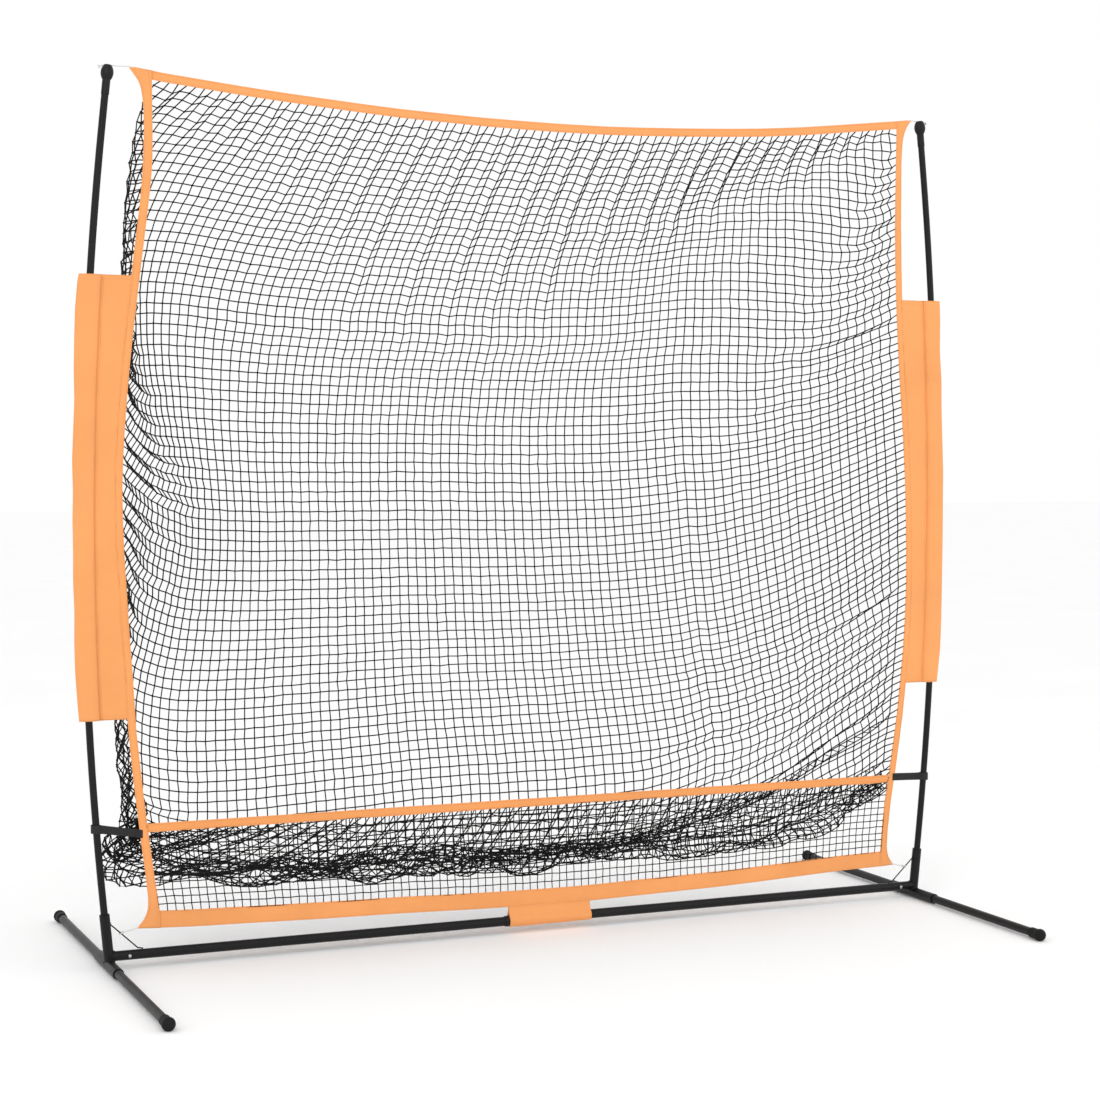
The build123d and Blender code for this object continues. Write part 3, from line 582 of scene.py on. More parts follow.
def drape(steps):
    """Positions of the net's knots. Inextensible twine, no shear stiffness, little bending stiffness; the breeze that fills it dies out at the cross band."""
    top, bottom, left, right = net_border()
    u = np.linspace(0, 1, NC + 1)[:, None]
    prof = np.array([(0, 1.95), (.40, 1.35), (.5, .80), (.36, .24), (.095, .17), (0, .3055)])
    seg = np.hypot(*np.diff(prof, axis=0).T)
    s = np.r_[0, np.cumsum(seg)] / seg.sum()
    v = np.linspace(0, 1, NR + 1)
    py, pz = np.interp(v, s, prof[:, 0]), np.interp(v, s, prof[:, 1])
    X = np.zeros((NC + 1, NR + 1, 3))
    shape = np.clip(1 - np.abs(2 * u - 1) ** 5, 0, 1)
    X[..., 0] = left[None, :, 0] * (1 - u) + right[None, :, 0] * u
    X[..., 1] = py[None] * shape
    X[..., 2] = (left[None, :, 2] * (1 - u) + right[None, :, 2] * u) * (1 - shape) + pz[None] * shape
    X += np.random.RandomState(5).normal(0, .0015, X.shape)
    X[:, 0], X[:, -1], X[0], X[-1] = top, bottom, left, right
    W = np.ones((NC + 1, NR + 1))
    W[:, 0] = W[:, -1] = 0
    W[0] = W[-1] = 0

    def forces():
        # weight, and a breeze from the front right that weakens and turns below half height
        f = np.clip((X[..., 2] - .55) / .40, 0, 1)
        F = np.zeros_like(X)
        corner = np.clip((-.60 - X[..., 0]) / .30, 0, 1)      # the lower left corner is blown back and out
        low = np.clip((.36 - X[..., 2]) / .08, 0, 1)
        F[..., 0] = -.28 * f - (.36 + 1.15 * corner) * (1 - f)
        F[..., 1] = .20 * f + (.05 * low - .26 * (1 - low) + .9 * corner) * (1 - f)
        F[..., 2] = -.70
        return F * 9.81

    ii, jj = np.meshgrid(np.arange(NC + 1), np.arange(NR + 1), indexing="ij")
    heap = .046 * (1 + .5 * np.sin(ii * .71 + 1.3 * np.sin(jj * .45)) + .5 * np.sin(jj * .93 + ii * .31 + 1.7))

    def rest_height():
        # the heap of slack lies along the cross band at this height, rising towards the right
        x, y = X[..., 0], X[..., 1]
        return .096 + heap + .006 * (np.sin(x * 9.3 + 1.1) * np.cos(y * 13 + .4) + .6 * np.sin(x * 21 + y * 17)) + .12 * np.clip((x - .66) / .26, 0, 1) ** 1.5

    def crumple(seed):
        f = np.clip((.36 - X[..., 2]) / .06, 0, 1) * W * (np.arange(NR + 1) > 70)
        rs = np.random.RandomState(seed)
        N = np.zeros_like(X)
        for q in range(14):
            k, d = rs.normal(0, 1, 3), rs.normal(0, 1, 3)
            k *= 2 * math.pi / rs.uniform(.035, .11) / np.linalg.norm(k)
            c = rs.uniform(.3, 1.2, 2)
            ph = np.arange(NC + 1)[:, None] * c[0] + np.arange(NR + 1)[None] * c[1] * rs.choice([-1, 1])
            N += np.sin(X @ k * .4 + ph + rs.uniform(0, 6.3))[..., None] * d / np.linalg.norm(d)
        X[...] += .0060 * N * f[..., None]

    V = np.zeros_like(X)
    dt, iters = .007, 4

    def pair(axis, a, b, d, kind, k):
        if axis == 0:
            P, Q, wa, wb = X[a], X[b], W[a], W[b]
        else:
            P, Q, wa, wb = X[:, a], X[:, b], W[:, a], W[:, b]
        D = Q - P
        l = np.sqrt((D * D).sum(-1)) + 1e-9
        w = wa + wb
        w = np.where(w == 0, 1, w)
        e = l - d
        e = np.minimum(e, 0) if kind == "min" else np.where(e < 0, e * .35, e)
        c = (k * e / l / w)[..., None] * D
        if axis == 0:
            X[a] = P + c * wa[..., None]
            X[b] = Q - c * wb[..., None]
        else:
            X[:, a] = P + c * wa[..., None]
            X[:, b] = Q - c * wb[..., None]

    def far(axis, k):
        if axis == 0:
            P, Q, wa, wb = X[:-k], X[k:], W[:-k], W[k:]
        else:
            P, Q, wa, wb = X[:, :-k], X[:, k:], W[:, :-k], W[:, k:]
        D = Q - P
        l = np.sqrt((D * D).sum(-1)) + 1e-9
        e = np.maximum(l - k * MESH, 0)
        if not (e > 0).any():
            return
        w = wa + wb
        w = np.where(w == 0, 1, w)
        c = (e / l / w)[..., None] * D
        C, N, h = np.zeros_like(X), np.zeros(X.shape[:2]), (e > 0) * 1.0
        if axis == 0:
            C[:-k] += c * wa[..., None]
            C[k:] -= c * wb[..., None]
            N[:-k] += h
            N[k:] += h
        else:
            C[:, :-k] += c * wa[..., None]
            C[:, k:] -= c * wb[..., None]
            N[:, :-k] += h
            N[:, k:] += h
        X[...] += C / np.maximum(N, 1)[..., None]

    def diagonals():
        for sa, sb in (((slice(0, -1), slice(0, -1)), (slice(1, None), slice(1, None))),
                       ((slice(1, None), slice(0, -1)), (slice(0, -1), slice(1, None)))):
            P, Q = X[sa], X[sb]
            D = Q - P
            l = np.sqrt((D * D).sum(-1)) + 1e-9
            e = np.minimum(l - MESH * 1.05, 0)
            wa, wb = W[sa], W[sb]
            c = (.4 * e / l / np.maximum(wa + wb, 1))[..., None] * D
            X[sa] += c * wa[..., None] * .5
            X[sb] -= c * wb[..., None] * .5

    near = [(ax, np.arange(o, X.shape[ax] - 1, 2)) for ax in (0, 1) for o in (0, 1)]
    stiff = [(ax, np.arange(o, X.shape[ax] - 2, 4)) for ax in (0, 1) for o in range(4)]
    for step in range(steps):
        if steps - step in (100, 70, 40):
            crumple(steps - step)
        X0 = X.copy()
        V *= .985
        V += forces() * dt * W[..., None]
        A = np.zeros_like(X)
        A[1:-1, 1:-1] = np.cross(X[2:, 1:-1] - X[:-2, 1:-1], X[1:-1, 2:] - X[1:-1, :-2]) / (4 * MESH * MESH)
        V += PRESSURE * 9.81 * dt * A * (W * np.clip((X[..., 2] - .60) / .40, 0, 1))[..., None]
        X += V * dt * W[..., None]
        for it in range(iters):
            if it == 0:
                for k in (48, 24, 12, 6, 3):
                    far(0, k)
                    far(1, k)
            for ax, a in near:
                pair(ax, a, a + 1, MESH, "eq", 1.0)
            if it % 3 == 0:
                for ax, a in stiff:
                    pair(ax, a, a + 2, MESH * 1.55, "min", .25)
                diagonals()
        low = (X[..., 1] < .0044) & (W > 0)
        X[..., 1] = np.where(low, .0044, X[..., 1])
        fl = rest_height()
        X[..., 2] = np.where((X[..., 2] < fl) & (W > 0), fl, X[..., 2])
        X[..., 0] = np.where((X[..., 1] < .025) & (X[..., 0] < -1.055), -1.055, X[..., 0])   # clear of the pole
        V = (X - X0) / dt
        sp = np.sqrt((V * V).sum(-1))
        V *= np.minimum(1, 1.2 / np.maximum(sp, 1e-6))[..., None]
    return X


PRESSURE = .9
X = drape(450)
X[1:-1, 1:-1] += rng.normal(0, .0005, X[1:-1, 1:-1].shape)

TWINE_R = .00150
cuts_u, cuts_v = [0, 24, 48, 72, NC], [0, NR // 2, NR]


net_pieces = []
for a in range(4):
    for b in range(2):
        part = X[cuts_u[a]:cuts_u[a + 1] + 1, cuts_v[b]:cuts_v[b + 1] + 1]
        o = netting(f"catch_net_panel_{'upper' if b == 0 else 'lower'}_{a + 1}", part, TWINE_R, edges=(a == 0, a == 3, b == 0, b == 1), skip=(a > 0, b > 0))
        net_pieces.append((o, part.shape))
for k, (o, shp) in enumerate(net_pieces):
    if k == 0:
        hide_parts("catch_net")

# the flat lower net
LC, LR = 98, 11
uu, vv = np.meshgrid(np.linspace(0, 1, LC + 1), np.linspace(0, 1, LR + 1), indexing="ij")
zt = CROSS_Z0 + .0015
x_at = -.956 + (.9655 + .956) * uu
zb = curve_at(BOTTOM_EDGE, x_at) + BOTTOM_BAND_H / 1000 - .002
Z = zt + (zb - zt) * vv
XL = curve_at(LEFT_INNER, Z, True) - .0015
XR = curve_at(RIGHT_INNER, Z, True) + .0015
Y = np.stack([XL + (XR - XL) * uu, .0012 * waves(x_at, Z, 31, .25, .5, 3) - .0002, Z], -1)
Y[1:-1, 1:-1] += rng.normal(0, .00045, Y[1:-1, 1:-1].shape) * np.array([1, .8, 1])
lower = netting("lower_net_mesh", Y, .00120)
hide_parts("lower_net")

# ------------------------------------------------------------------ woven border
stitches = {k: Mesh() for k in ("bands", "left", "right")}
black_stitches = Mesh()


def edge3(pts):
    p = np.asarray(pts, float)
    return np.stack([p[:, 0], 0 * p[:, 0], p[:, 1]], -1)


def band(name, A, B, n, node, mat=FABRIC, n_mid=2, seed=1, pucker=.0006, edge_pucker=.0004, lines=(.0034,)):
    A, B = along(A, n), along(B, n)
    w = float(np.linalg.norm(B - A, axis=1).mean())
    o, off = ribbon(name, A, B, mat, "orange_fabric", n_mid, pucker, seed, edge_pucker)
    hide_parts(node)
    for d in lines:
        for f in (d / w, 1 - d / w):
            P = A + (B - A) * f
            P[:, 1] += pucker * waves(P[:, 0], P[:, 2], seed, .16, .55, 4)
            for side in (-1, 1):
                stitch_row(stitches[name.split("_")[-1] if "strip" in name else "bands"], P, side, lift=.0011)
    return o


x = np.linspace(-.9411, .9711, 260)
top_a = np.stack([x, 0 * x, curve_at(TOP_EDGE, x)], -1)
top_a = smooth(top_a, 4)
top_b = top_a - np.array([0, 0, TOP_BAND_H / 1000])
band("top_band_cloth", top_a, top_b, 300, "net_top_band", seed=3)
x = np.linspace(-.9331, .9471, 240)
bot_b = smooth(np.stack([x, 0 * x, curve_at(BOTTOM_EDGE, x)], -1), 4)
bot_a = bot_b + np.array([0, 0, BOTTOM_BAND_H / 1000])
band("bottom_band_cloth", bot_b, bot_a, 300, "net_bottom_band", seed=5, n_mid=5)
z0, z1 = CROSS_Z0, CROSS_Z1
cr_t = np.array([(curve_at(LEFT_INNER, z1, True), 0, z1), (curve_at(RIGHT_INNER, z1, True), 0, z1)], float)
cr_b = np.array([(curve_at(LEFT_INNER, z0, True), 0, z0), (curve_at(RIGHT_INNER, z0, True), 0, z0)], float)
band("cross_band_cloth", cr_t, cr_b, 300, "net_cross_band", seed=7, mat=BINDING, pucker=.0009)
for side, inner, outer, node in (("left", [(-941, 1990.5)] + LEFT_INNER + [(-933, 87)], LEFT_OUTER, "net_side_strip_left"),
                                 ("right", [(971, 1992.5)] + RIGHT_INNER + [(947, 88)], RIGHT_OUTER, "net_side_strip_right")):
    A = smooth(along(edge3(inner) / 1000, 420), 3)
    B = smooth(along(edge3(outer) / 1000, 420), 2)
    band(f"side_strip_cloth_{side}", A, B, 420, node, seed=11 if side == "left" else 13, n_mid=1, pucker=.0005)

# ------------------------------------------------------------------ side sleeves
R_BOW, CX, CZ = 8.616, 1.0992094 - 8.616, .9683006


def pole_x(z):
    return CX + np.sqrt(R_BOW ** 2 - (z - CZ) ** 2)


def sleeve(side):
    s = -1 if side == "left" else 1
    outer = LEFT_OUTER if side == "left" else RIGHT_OUTER
    edge = np.array(sorted(SLEEVE_LEFT_EDGE if side == "left" else SLEEVE_RIGHT_EDGE, key=lambda p: p[1]))
    nz = 150
    z = np.linspace(SLEEVE_Z0, SLEEVE_Z1, nz)
    xi = np.abs(curve_at(outer, z, True)) - .004          # tucked behind the strip's outer rim
    xo = np.abs(np.interp(z, edge[:, 1], edge[:, 0]))
    xo = smooth(np.stack([xo], -1), 3)[:, 0]
    xp = pole_x(z)
    xs = xp - .024                                        # seam line of the pole channel
    # cross-section of the outer skin: front panel, round the pole, back panel
    prof = []
    for f in np.linspace(0, 1, 9):
        prof.append(("p", f, -1))
    for a in np.linspace(0, 1, 25):
        prof.append(("c", a, 0))
    for f in np.linspace(1, 0, 9):
        prof.append(("p", f, 1))
    outer_loop, inner_loop = [], []
    wr = waves(z, 0 * z, 41 if side == "left" else 43, .30, .6, 3)
    for kind, f, sg in prof:
        if kind == "p":
            xx = xi + (xs - xi) * f
            h = .0012 + .0002 * np.exp(-((xs - xx) / .004) ** 2)
            lift = .0011 * waves(xx * 2.2, z, 47, .22, .55, 4) * min(1, f * 4 + .15)
            outer_loop.append(np.stack([xx, sg * h + lift, z], -1))
            inner_loop.append(np.stack([xx, sg * .00012 + lift, z], -1))
        else:
            ang = math.pi * (1 - f)                       # pi at the front seam, 0 at the outer edge side, to -pi
            c, hgt = (xs + xo) / 2, .0101
            half = (xo - xs) / 2
            th = math.pi * (1 - 2 * f)
            # superellipse from the front of the seam round the outside to the back of it
            ct, st = math.cos(th), math.sin(th)
            e = .92 if ct < 0 else .70
            ex = np.sign(ct) * abs(ct) ** e
            ey = -np.sign(st) * abs(st) ** (.92 if ct < 0 else .78)
            lift = .0011 * waves(xs * 2.2, z, 47, .22, .55, 4) * math.exp(-(1 + ct) / .5)
            # slack cloth only ever stands away from the pole
            drag = .0004 * (1 + wr) * (1 - ct) / 2 + .0003 * (1 + waves(z * 1.0, 0 * z + f * .2, 53, .09, .6, 3))
            xx = c + half * ex
            yy = np.sign(ey) * np.maximum((hgt + drag) * abs(ey), .0013) + lift
            xn = c + (half - .0012) * ex
            yn = np.sign(ey) * np.maximum((hgt + drag) * abs(ey) - .0012, .0001) + lift
            if f in (0.0, 1.0):
                yy = (-.0014 if f == 0.0 else .0014) + lift
                yn = (-.0002 if f == 0.0 else .0002) + lift
                xn = xs + .0004 + 0 * z
            outer_loop.append(np.stack([xx, yy, z], -1))
            inner_loop.append(np.stack([xn, yn, z], -1))
    O, I = np.stack(outer_loop, 1), np.stack(inner_loop, 1)
    O[..., 0] *= s
    I[..., 0] *= s
    k = O.shape[1]
    q = grid_quads(nz, k, True)
    m = Mesh()
    off = nz * k
    qi = q[:, ::-1] + off
    ends = []
    for row, flip in ((0, False), (nz - 1, True)):
        for j in range(k):
            j2 = (j + 1) % k
            f = [row * k + j, off + row * k + j, off + row * k + j2, row * k + j2]
            ends.append(f[::-1] if flip else f)
    m.add(np.concatenate([O.reshape(-1, 3), I.reshape(-1, 3)]), np.concatenate([q, qi, np.array(ends)]))
    o = m.make(f"sleeve_cloth_{side}", FABRIC, "orange_fabric")
    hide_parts(f"side_sleeve_{side}")
    # seam beside the channel, along the strip, and hems at both ends
    lift = .0011 * waves(xs * 2.2, z, 47, .22, .55, 4)
    for dx in (-.0025, -.0062):
        P = np.stack([s * (xs + dx), lift, z], -1)
        for sg in (-1, 1):
            stitch_row(stitches[side], P, sg, lift=.0013)
    for zz in (SLEEVE_Z0 + .009, SLEEVE_Z1 - .009):
        i = int(np.argmin(abs(z - zz)))
        xx = np.linspace(xi[i] + .006, xs[i], 20)
        P = np.stack([s * xx, .0011 * waves(xx * 2.2, 0 * xx + zz, 47, .22, .55, 4) * np.clip((xx - xi[i]) / (xs[i] - xi[i]) * 4 + .15, 0, 1), 0 * xx + zz], -1)
        for sg in (-1, 1):
            stitch_row(stitches[side], P, sg, lift=.0012)
    return o


sleeve("left")
sleeve("right")

# ------------------------------------------------------------------ centre sleeve round the crossbar
def centre_sleeve():
    nx = 70
    xs = np.linspace(TAB_X0, TAB_X1, nx)
    zt_ = curve_at(BOTTOM_EDGE, xs) + .004
    outer_loop, inner_loop = [], []
    wr = waves(xs, 0 * xs, 61, .11, .6, 3)
    zc, r = BAR_Z, .0141
    for f in np.linspace(0, 1, 8):
        zz = zt_ + (zc + .012 - zt_) * f
        y = -(.0013 + (.0082 - .0013) * f ** 2.2)
        y = y * (1 + .10 * wr * f)
        outer_loop.append(np.stack([xs, y, zz], -1))
        inner_loop.append(np.stack([xs, y + .0011, zz], -1))
    for a in np.linspace(math.radians(145), math.radians(395), 26):
        # from the front upper side, under the bar, to the back upper side
        rr = r + .0006 * wr * math.sin(a) ** 2 + .0004 * waves(xs, 0 * xs + a * .02, 67, .05, .6, 2)
        outer_loop.append(np.stack([xs, rr * math.cos(a), zc + rr * math.sin(a)], -1))
        inner_loop.append(np.stack([xs, (rr - .0012) * math.cos(a), zc + (rr - .0012) * math.sin(a)], -1))
    for f in np.linspace(1, 0, 8):
        zz = zt_ + (zc + .012 - zt_) * f
        y = .0013 + (.0082 - .0013) * f ** 2.2
        y = y * (1 + .10 * wr * f)
        outer_loop.append(np.stack([xs, y, zz], -1))
        inner_loop.append(np.stack([xs, y - .0011, zz], -1))
    O, I = np.stack(outer_loop, 1), np.stack(inner_loop, 1)
    k = O.shape[1]
    q, off = grid_quads(nx, k, True), nx * k
    ends = []
    for row, flip in ((0, False), (nx - 1, True)):
        for j in range(k):
            j2 = (j + 1) % k
            f = [row * k + j, off + row * k + j, off + row * k + j2, row * k + j2]
            ends.append(f[::-1] if flip else f)
    m = Mesh()
    m.add(np.concatenate([O.reshape(-1, 3), I.reshape(-1, 3)]), np.concatenate([q, q[:, ::-1] + off, np.array(ends)]))
    o = m.make("centre_sleeve_cloth", FABRIC, "orange_fabric")
    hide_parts("crossbar_sleeve")
    P = np.stack([xs, 0 * xs, curve_at(BOTTOM_EDGE, xs) + .0015], -1)
    for sg in (-1, 1):
        stitch_row(stitches["bands"], P, sg, lift=.0016)
    return o


centre_sleeve()


# ------------------------------------------------------------------ webbing straps round the poles
def strap(side):
    s = -1 if side == "left" else 1
    outer = LEFT_OUTER if side == "left" else RIGHT_OUTER
    zp, zs = (.3195, .3015) if side == "left" else (.3150, .3180)
    px = float(pole_x(zp))
    x0 = abs(float(curve_at(outer, zs, True))) - .006
    h, t = .0185, .0013
    # plan route: front tail out to the pole, round it, and back along the rear tail
    route, zc = [], []
    tail = np.linspace(0, 1, 12)
    for f in tail:
        xx = x0 + (px - .0125 - x0) * f
        route.append((xx, -.0011 - .0004 * math.sin(f * 9)))
    for a in np.linspace(math.radians(208), math.radians(512), 34):
        route.append((px + .0004 + .0113 * math.cos(a), .0113 * math.sin(a)))
    for f in tail[::-1]:
        xx = x0 + (px - .0125 - x0) * f
        route.append((xx, .0011 + .0004 * math.sin(f * 7 + 1)))
    r = smooth(np.array(route), 2)
    r = along(r, 110)
    f = np.clip((r[:, 0] - x0) / (px - x0), 0, 1)
    zc = zs + (zp - zs) * f
    tg = np.gradient(r, axis=0)
    tg /= np.linalg.norm(tg, axis=1)[:, None]
    nrm = np.stack([tg[:, 1], -tg[:, 0]], -1)
    cs = []
    for yy, zz in [(-1, -.5), (-1, -.46), (-1, -.3), (-1, 0), (-1, .3), (-1, .46), (-1, .5), (1, .5), (1, .46), (1, .3), (1, 0), (1, -.3), (1, -.46), (1, -.5)]:
        e = t / 2 * (.45 if abs(zz) == .5 else 1)
        c = r + nrm * (yy * e)
        cs.append(np.stack([s * c[:, 0], c[:, 1], zc + zz * h], -1))
    P = np.stack(cs, 1)
    k = P.shape[1]
    q = grid_quads(len(r), k, True)
    caps = []
    for row, flip in ((0, False), (len(r) - 1, True)):
        b = row * k
        for j in range(k // 2 - 1):
            fc = [b + j, b + k - 1 - j, b + k - 2 - j, b + j + 1]
            caps.append(fc[::-1] if flip else fc)
    m = Mesh()
    m.add(P, np.concatenate([q, np.array(caps)]))
    o = m.make(f"strap_webbing_{side}", WEBBING, "black_webbing")
    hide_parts(f"pole_strap_{side}")
    # bar tack where the tails are sewn together beside the pole, and on the strip
    for xx in (px - .0165, px - .0195, x0 + .012, x0 + .016):
        zz = zs + (zp - zs) * (xx - x0) / (px - x0)
        P2 = np.stack([s * (xx + .0006 * np.array([-1, 1, -1, 1, -1, 1, -1])), 0 * np.ones(7), zz + np.linspace(-.0075, .0075, 7)], -1)
        for sg in (-1, 1):
            stitch_row(black_stitches, P2, sg, length=.0026, pitch=.0028, lift=.0020)


strap("left")
strap("right")


# ------------------------------------------------------------------ corner elastics
def braid(mesh, path, r, pitch=.0042, sides=16):
    """Elastic cord whose surface is a soft braid: the radius ripples along two crossing helices."""
    p = along(path, max(24, int(np.linalg.norm(np.diff(path, axis=0), axis=1).sum() / .0007)))
    n = len(p)
    t = np.gradient(p, axis=0)
    t /= np.linalg.norm(t, axis=1)[:, None] + 1e-12
    u = np.array((0, 1, 0), float)
    a = np.arange(sides) * 2 * math.pi / sides
    d = np.r_[0, np.cumsum(np.linalg.norm(np.diff(p, axis=0), axis=1))]
    rings = []
    for k in range(n):
        u = u - t[k] * (u @ t[k])
        if np.linalg.norm(u) < 1e-6:
            u = np.cross(t[k], (1, 0, 0))
        u = u / np.linalg.norm(u)
        w = np.cross(t[k], u)
        ph = 2 * math.pi * d[k] / pitch
        rr = r * (1 + .07 * np.cos(4 * a + ph) * np.cos(4 * a - ph))
        rings.append(p[k] + rr[:, None] * (np.cos(a)[:, None] * u + np.sin(a)[:, None] * w))
    ring = np.stack(rings)
    v = np.concatenate([ring.reshape(-1, 3), p[:1], p[-1:]])
    q = grid_quads(n, sides, True)
    s = np.arange(sides)
    s2 = (s + 1) % sides
    tri = np.concatenate([np.stack([s2, s, np.full(sides, n * sides)], -1), np.stack([(n - 1) * sides + s, (n - 1) * sides + s2, np.full(sides, n * sides + 1)], -1)])
    mesh.add(v, q, tri)


def knot_on(mesh, c, axis, size=.0034, r=.0014):
    """Overhand knot: a trefoil drawn in round the cord."""
    t = np.linspace(0, 2 * math.pi, 60, endpoint=False)
    k = np.stack([np.sin(t) + 2 * np.sin(2 * t), np.cos(t) - 2 * np.cos(2 * t), -1.3 * np.sin(3 * t)], -1) / 3 * size
    z = Vector(axis).normalized()
    x_ = z.orthogonal().normalized()
    y_ = z.cross(x_)
    M = np.array([x_, y_, z]).T
    tube_mesh(mesh, np.asarray(c) + k @ M.T, r, 8, closed=True)


GROOVE_Z, KNOB_X = 1.9952, 1.04044
for side, s, tip in (("left", -1, .9940), ("right", 1, 1.0160)):
    m = Mesh()
    # sewn into the tip of the border, over the knob's flat top in its groove, knotted on the far side
    path = np.array([(tip - .012, 0, 1.9945 if side == "left" else 1.9952), (tip - .002, 0, 1.9958 if side == "left" else 1.9963), (tip + .010, 0, GROOVE_Z + .0002), (KNOB_X - .0085, 0, GROOVE_Z),
                     (KNOB_X, 0, GROOVE_Z + .0002), (KNOB_X + .0075, 0, GROOVE_Z), (KNOB_X + .0125, 0, GROOVE_Z - .0012), (KNOB_X + .0165, 0, GROOVE_Z - .0032)])
    path[:, 0] *= s
    path = smooth(along(path, 60), 3)
    braid(m, path, .00145)
    knot_on(m, path[-1] + np.array([s * .0012, 0, -.0006]), (s, 0, -.5), .0030)
    o = m.make(f"corner_elastic_top_{side}", ELASTIC, "white_elastic", body=None)
    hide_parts(f"elastic_top_{side}")
    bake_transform(o)
for side, s, tip in (("left", -1, (.9860, .0900)), ("right", 1, (.9890, .0900))):
    m = Mesh()
    t0 = math.tan(math.radians(5.5))
    w0 = np.array([1.049 + t0 * (.104 - .033) - .011, 0, .104])
    w1 = np.array([.984, 0, .0471])
    d = (w1 - w0) / np.linalg.norm(w1 - w0)
    c = w0 + d * ((w0[2] - .0825) / -d[2])
    start = np.array([tip[0] - .012, 0, tip[1] + .006])
    a0 = np.array([tip[0] + .001, 0, tip[1] + .0002])
    run = (c - a0) / np.linalg.norm(c - a0)
    path = np.array([start, a0 * .5 + start * .5, a0, a0 + run * .012, c - run * .0044])
    # ring of cord round the hook wire
    ring = []
    b1 = np.cross(d, (0, 1, 0))
    if b1 @ -run < 0:
        b1 = -b1
    for a in np.linspace(0, 2 * math.pi * 1.0, 22):
        ring.append(c + .0033 * (b1 * math.cos(a) + np.array((0, 1, 0)) * math.sin(a)) + d * (.0007 * (a / math.pi - 1)))
    path[:, 0] *= s
    ring = np.array(ring)
    ring[:, 0] *= s
    braid(m, smooth(along(path, 50), 3), .0014)
    braid(m, ring, .0013)
    kc = (c - run * .0062)
    kc = np.array([s * kc[0], 0, kc[2]])
    knot_on(m, kc, (s * run[0], 0, run[2]), .0026, .0012)
    o = m.make(f"corner_elastic_bottom_{side}", ELASTIC, "white_elastic")
    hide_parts(f"elastic_bottom_{side}")

for k, m in stitches.items():
    m.make(f"border_stitching_{k}", THREAD, "orange_fabric")
black_stitches.make("strap_stitching", BLACK_THREAD, "black_webbing")


# ------------------------------------------------------------------ V springs behind the snap buttons
for side, s in (("left", -1), ("right", 1)):
    # a bent strip: the front leg follows the button, the rear leg stays on the tube's far wall
    leg = np.array([(1.0080, -.0040), (1.0077, -.00401), (.9680, -.00015), (.9646, .00008), (.9636, .00018), (.9633, .00035), (.9636, .00052),
                    (.9646, .00072), (.9680, .00126), (1.0077, .00728), (1.0080, .0073)])
    leg = smooth(along(leg, 150), 2)
    tg = np.gradient(leg, axis=0)
    tg /= np.linalg.norm(tg, axis=1)[:, None]
    nrm = np.stack([tg[:, 1], -tg[:, 0]], -1)
    ring = []
    for zz, nn in ((-.0030, -.8), (-.00285, -1), (0, -1), (.00285, -1), (.0030, -.8), (.0030, .8), (.00285, 1), (0, 1), (-.00285, 1), (-.0030, .8)):
        c = leg + nrm * (.00024 * nn)
        ring.append(np.stack([s * c[:, 0], c[:, 1], 0 * c[:, 0] + BAR_Z + zz], -1))
    P = np.stack(ring, 1)
    n, k = P.shape[:2]
    caps = [[r0 + j, r0 + k - 1 - j, r0 + k - 2 - j, r0 + j + 1] for r0 in (0,) for j in range(k // 2 - 1)]
    caps += [[r0 + j, r0 + j + 1, r0 + k - 2 - j, r0 + k - 1 - j] for r0 in ((n - 1) * k,) for j in range(k // 2 - 1)]
    m = Mesh()
    m.add(P, np.concatenate([grid_quads(n, k, True), np.array(caps)]))
    o = m.make(f"v_spring_{side}", ZINC, "bright_steel", body=None)
    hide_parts(f"button_spring_{side}")
    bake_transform(o)


# ------------------------------------------------------------------ weld beads of the hubs
def bead(mesh, pts, r=.0021, seed=1):
    """Rippled weld bead round a closed joint line."""
    p = along(np.vstack([pts, pts[:1]]), 121)[:-1]
    k = np.arange(len(p))
    rr = r * (1 + .12 * np.sin(k * 2 * math.pi / 4.0) + .10 * np.sin(k * .37 + seed))
    tube_mesh(mesh, p, rr, 8, closed=True)


for side, s in (("left", -1), ("right", 1)):
    m = Mesh()
    a = np.linspace(0, 2 * math.pi, 90, endpoint=False)
    # post on the foot socket: the tilted post's skin where it meets the horizontal tube
    tl = math.radians(5.5)
    rp, rf = .0115, .0125
    xx, yy = rp * np.cos(a), rp * np.sin(a)
    zf = .014 + np.sqrt(np.clip(rf ** 2 - np.clip(xx, -rf * .93, rf * .93) ** 2, (rf * .36) ** 2, None))
    P = np.stack([s * (1.049 + math.tan(tl) * (zf - .033) + xx), yy, zf], -1)
    # the crossbar stub joins on the inner side; this bead runs right round the post
    bead(m, P, .0020, 1)
    # stub on the post
    yy2, zz2 = .0110 * np.cos(a), .0110 * np.sin(a)
    xin = 1.049 - np.sqrt(np.clip(rp ** 2 - yy2 ** 2, (.0030) ** 2, None)) - .0008
    P = np.stack([s * xin, yy2, .032 + zz2], -1)
    bead(m, P, .0017, 2)
    # hook wire on the post
    w0 = (1.049 + math.tan(tl) * (.104 - .033) - .0112, .104)
    P = np.stack([s * (w0[0] + 0 * a), .0022 * np.cos(a), w0[1] + .0026 * np.sin(a)], -1)
    bead(m, P, .0011, 3)
    m.make(f"weld_beads_{side}", STEEL, "black_steel")

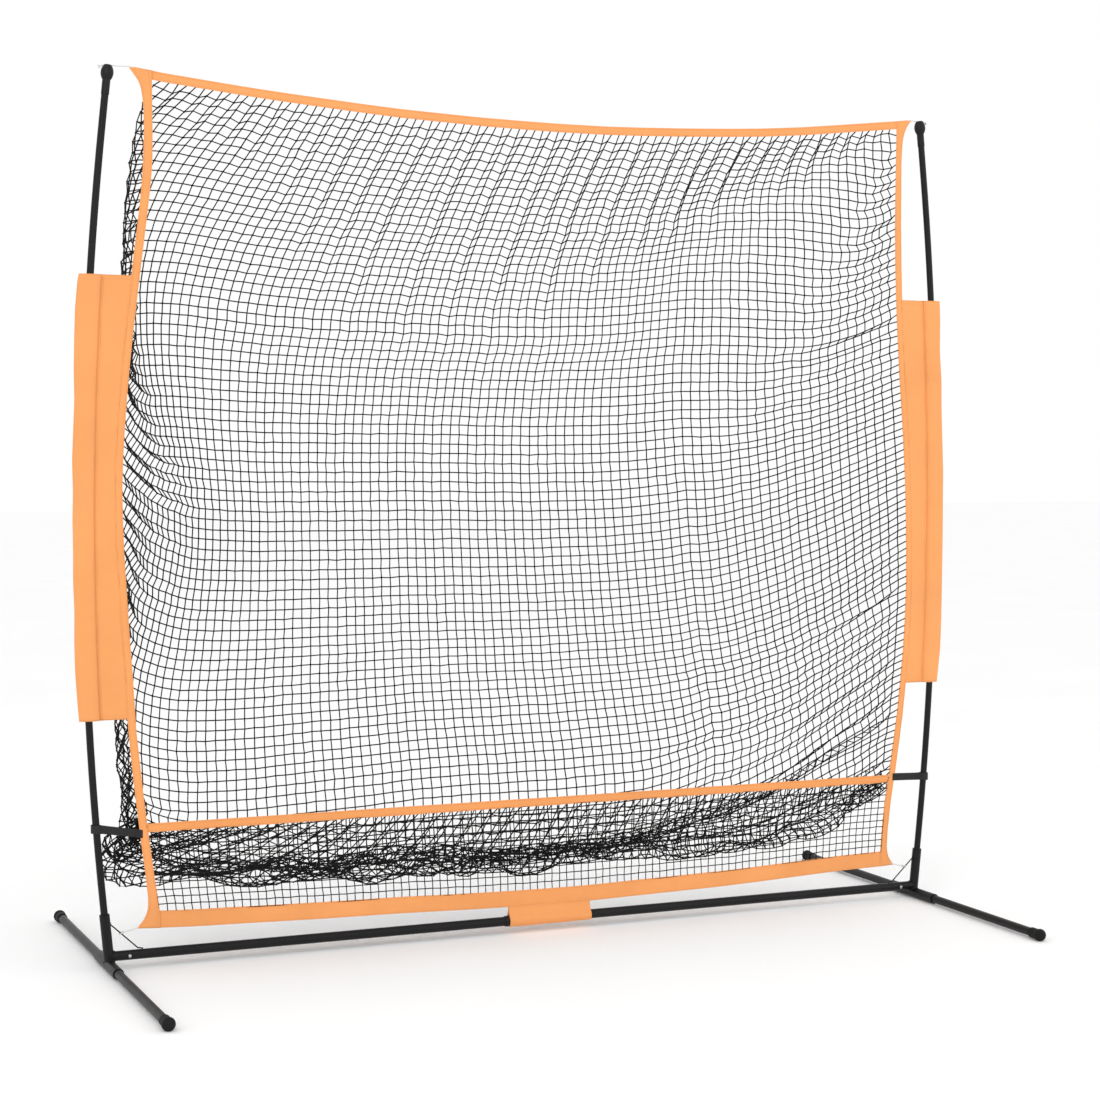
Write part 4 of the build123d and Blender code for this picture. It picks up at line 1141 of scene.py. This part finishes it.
# ------------------------------------------------------------------ carried-over CAD nodes
LOOK = {"hub": STEEL, "hook_wire": ZINC, "crossbar_button": ZINC, "button_spring": ZINC, "crossbar": STEEL, "foot_tube": STEEL, "foot_cap": RUBBER,
        "pole_cap": PLASTIC, "pole_ferrules": ZINC, "pole": STEEL}
for name, o in NODES.items():
    if o.hide_render or o.type != "MESH":
        continue
    mat = next((m for k, m in LOOK.items() if name.startswith(k)), STEEL)
    if name == "crossbar_collar":
        mat = PLASTIC
    if name.startswith("hook_wire"):
        mat = STEEL
    o.data.materials.clear()
    o.data.materials.append(mat)

# ------------------------------------------------------------------ stage, light and camera
me = bpy.data.meshes.new("floor_plane")
N = 24
g = np.linspace(-30, 30, N)
gx, gy = np.meshgrid(g, g, indexing="ij")
me.from_pydata(np.stack([gx.ravel(), gy.ravel(), 0 * gx.ravel()], -1).tolist(), [], grid_quads(N, N)[:, ::-1].tolist())
floor = bpy.data.objects.new("floor_plane", me)
bpy.context.scene.collection.objects.link(floor)
fm, nt, b, co = nodes_of("pale_floor")
nt.links.new(ramp(nt, noise(nt, co, 1.5, 4), [(.3, (.965, .965, .965)), (.7, (.985, .985, .985))]), b.inputs["Base Color"])
b.inputs["Roughness"].default_value = .9
b.inputs["Specular IOR Level"].default_value = .1
me.materials.append(fm)

world = bpy.data.worlds.new("studio")
bpy.context.scene.world = world
world.use_nodes = True
bg = world.node_tree.nodes["Background"]
bg.inputs["Color"].default_value = (1, 1, 1, 1)
bg.inputs["Strength"].default_value = 1.0


def area(name, loc, target, size, power):
    d = bpy.data.lights.new(name, "AREA")
    d.shape, d.size, d.energy = "SQUARE", size, power
    o = bpy.data.objects.new(name, d)
    bpy.context.scene.collection.objects.link(o)
    o.location = loc
    o.rotation_euler = (Vector(target) - Vector(loc)).to_track_quat("-Z", "Y").to_euler()


area("key_light", (-3.2, -4.5, 4.2), (0, 0, 1), 3.0, 62)
area("fill_light", (3.5, -3.5, 2.4), (0, 0, 1), 3.0, 26)

# the photograph's viewpoint
F_PX, YAW, PITCH, ROLL = 2244.08, math.radians(23.48593), math.radians(2.885956), math.radians(.211997)
fwd = Vector((math.sin(YAW) * math.cos(PITCH), math.cos(YAW) * math.cos(PITCH), -math.sin(PITCH)))
right = Vector((math.cos(YAW), -math.sin(YAW), 0))
up = right.cross(fwd)
r2 = right * math.cos(ROLL) + up * math.sin(ROLL)
u2 = -right * math.sin(ROLL) + up * math.cos(ROLL)
cam = bpy.data.cameras.new("photo_camera")
cam.sensor_width, cam.sensor_fit, cam.lens = 36.0, "HORIZONTAL", F_PX / 1100 * 36
co = bpy.data.objects.new("photo_camera", cam)
bpy.context.scene.collection.objects.link(co)
M = Matrix.Identity(4)
for i in range(3):
    M[i][0], M[i][1], M[i][2] = r2[i], u2[i], -fwd[i]
M[0][3], M[1][3], M[2][3] = -2.119403, -4.91649, 1.18945
co.matrix_world = M
bpy.context.scene.camera = co
bpy.context.scene.view_settings.view_transform = "Standard"
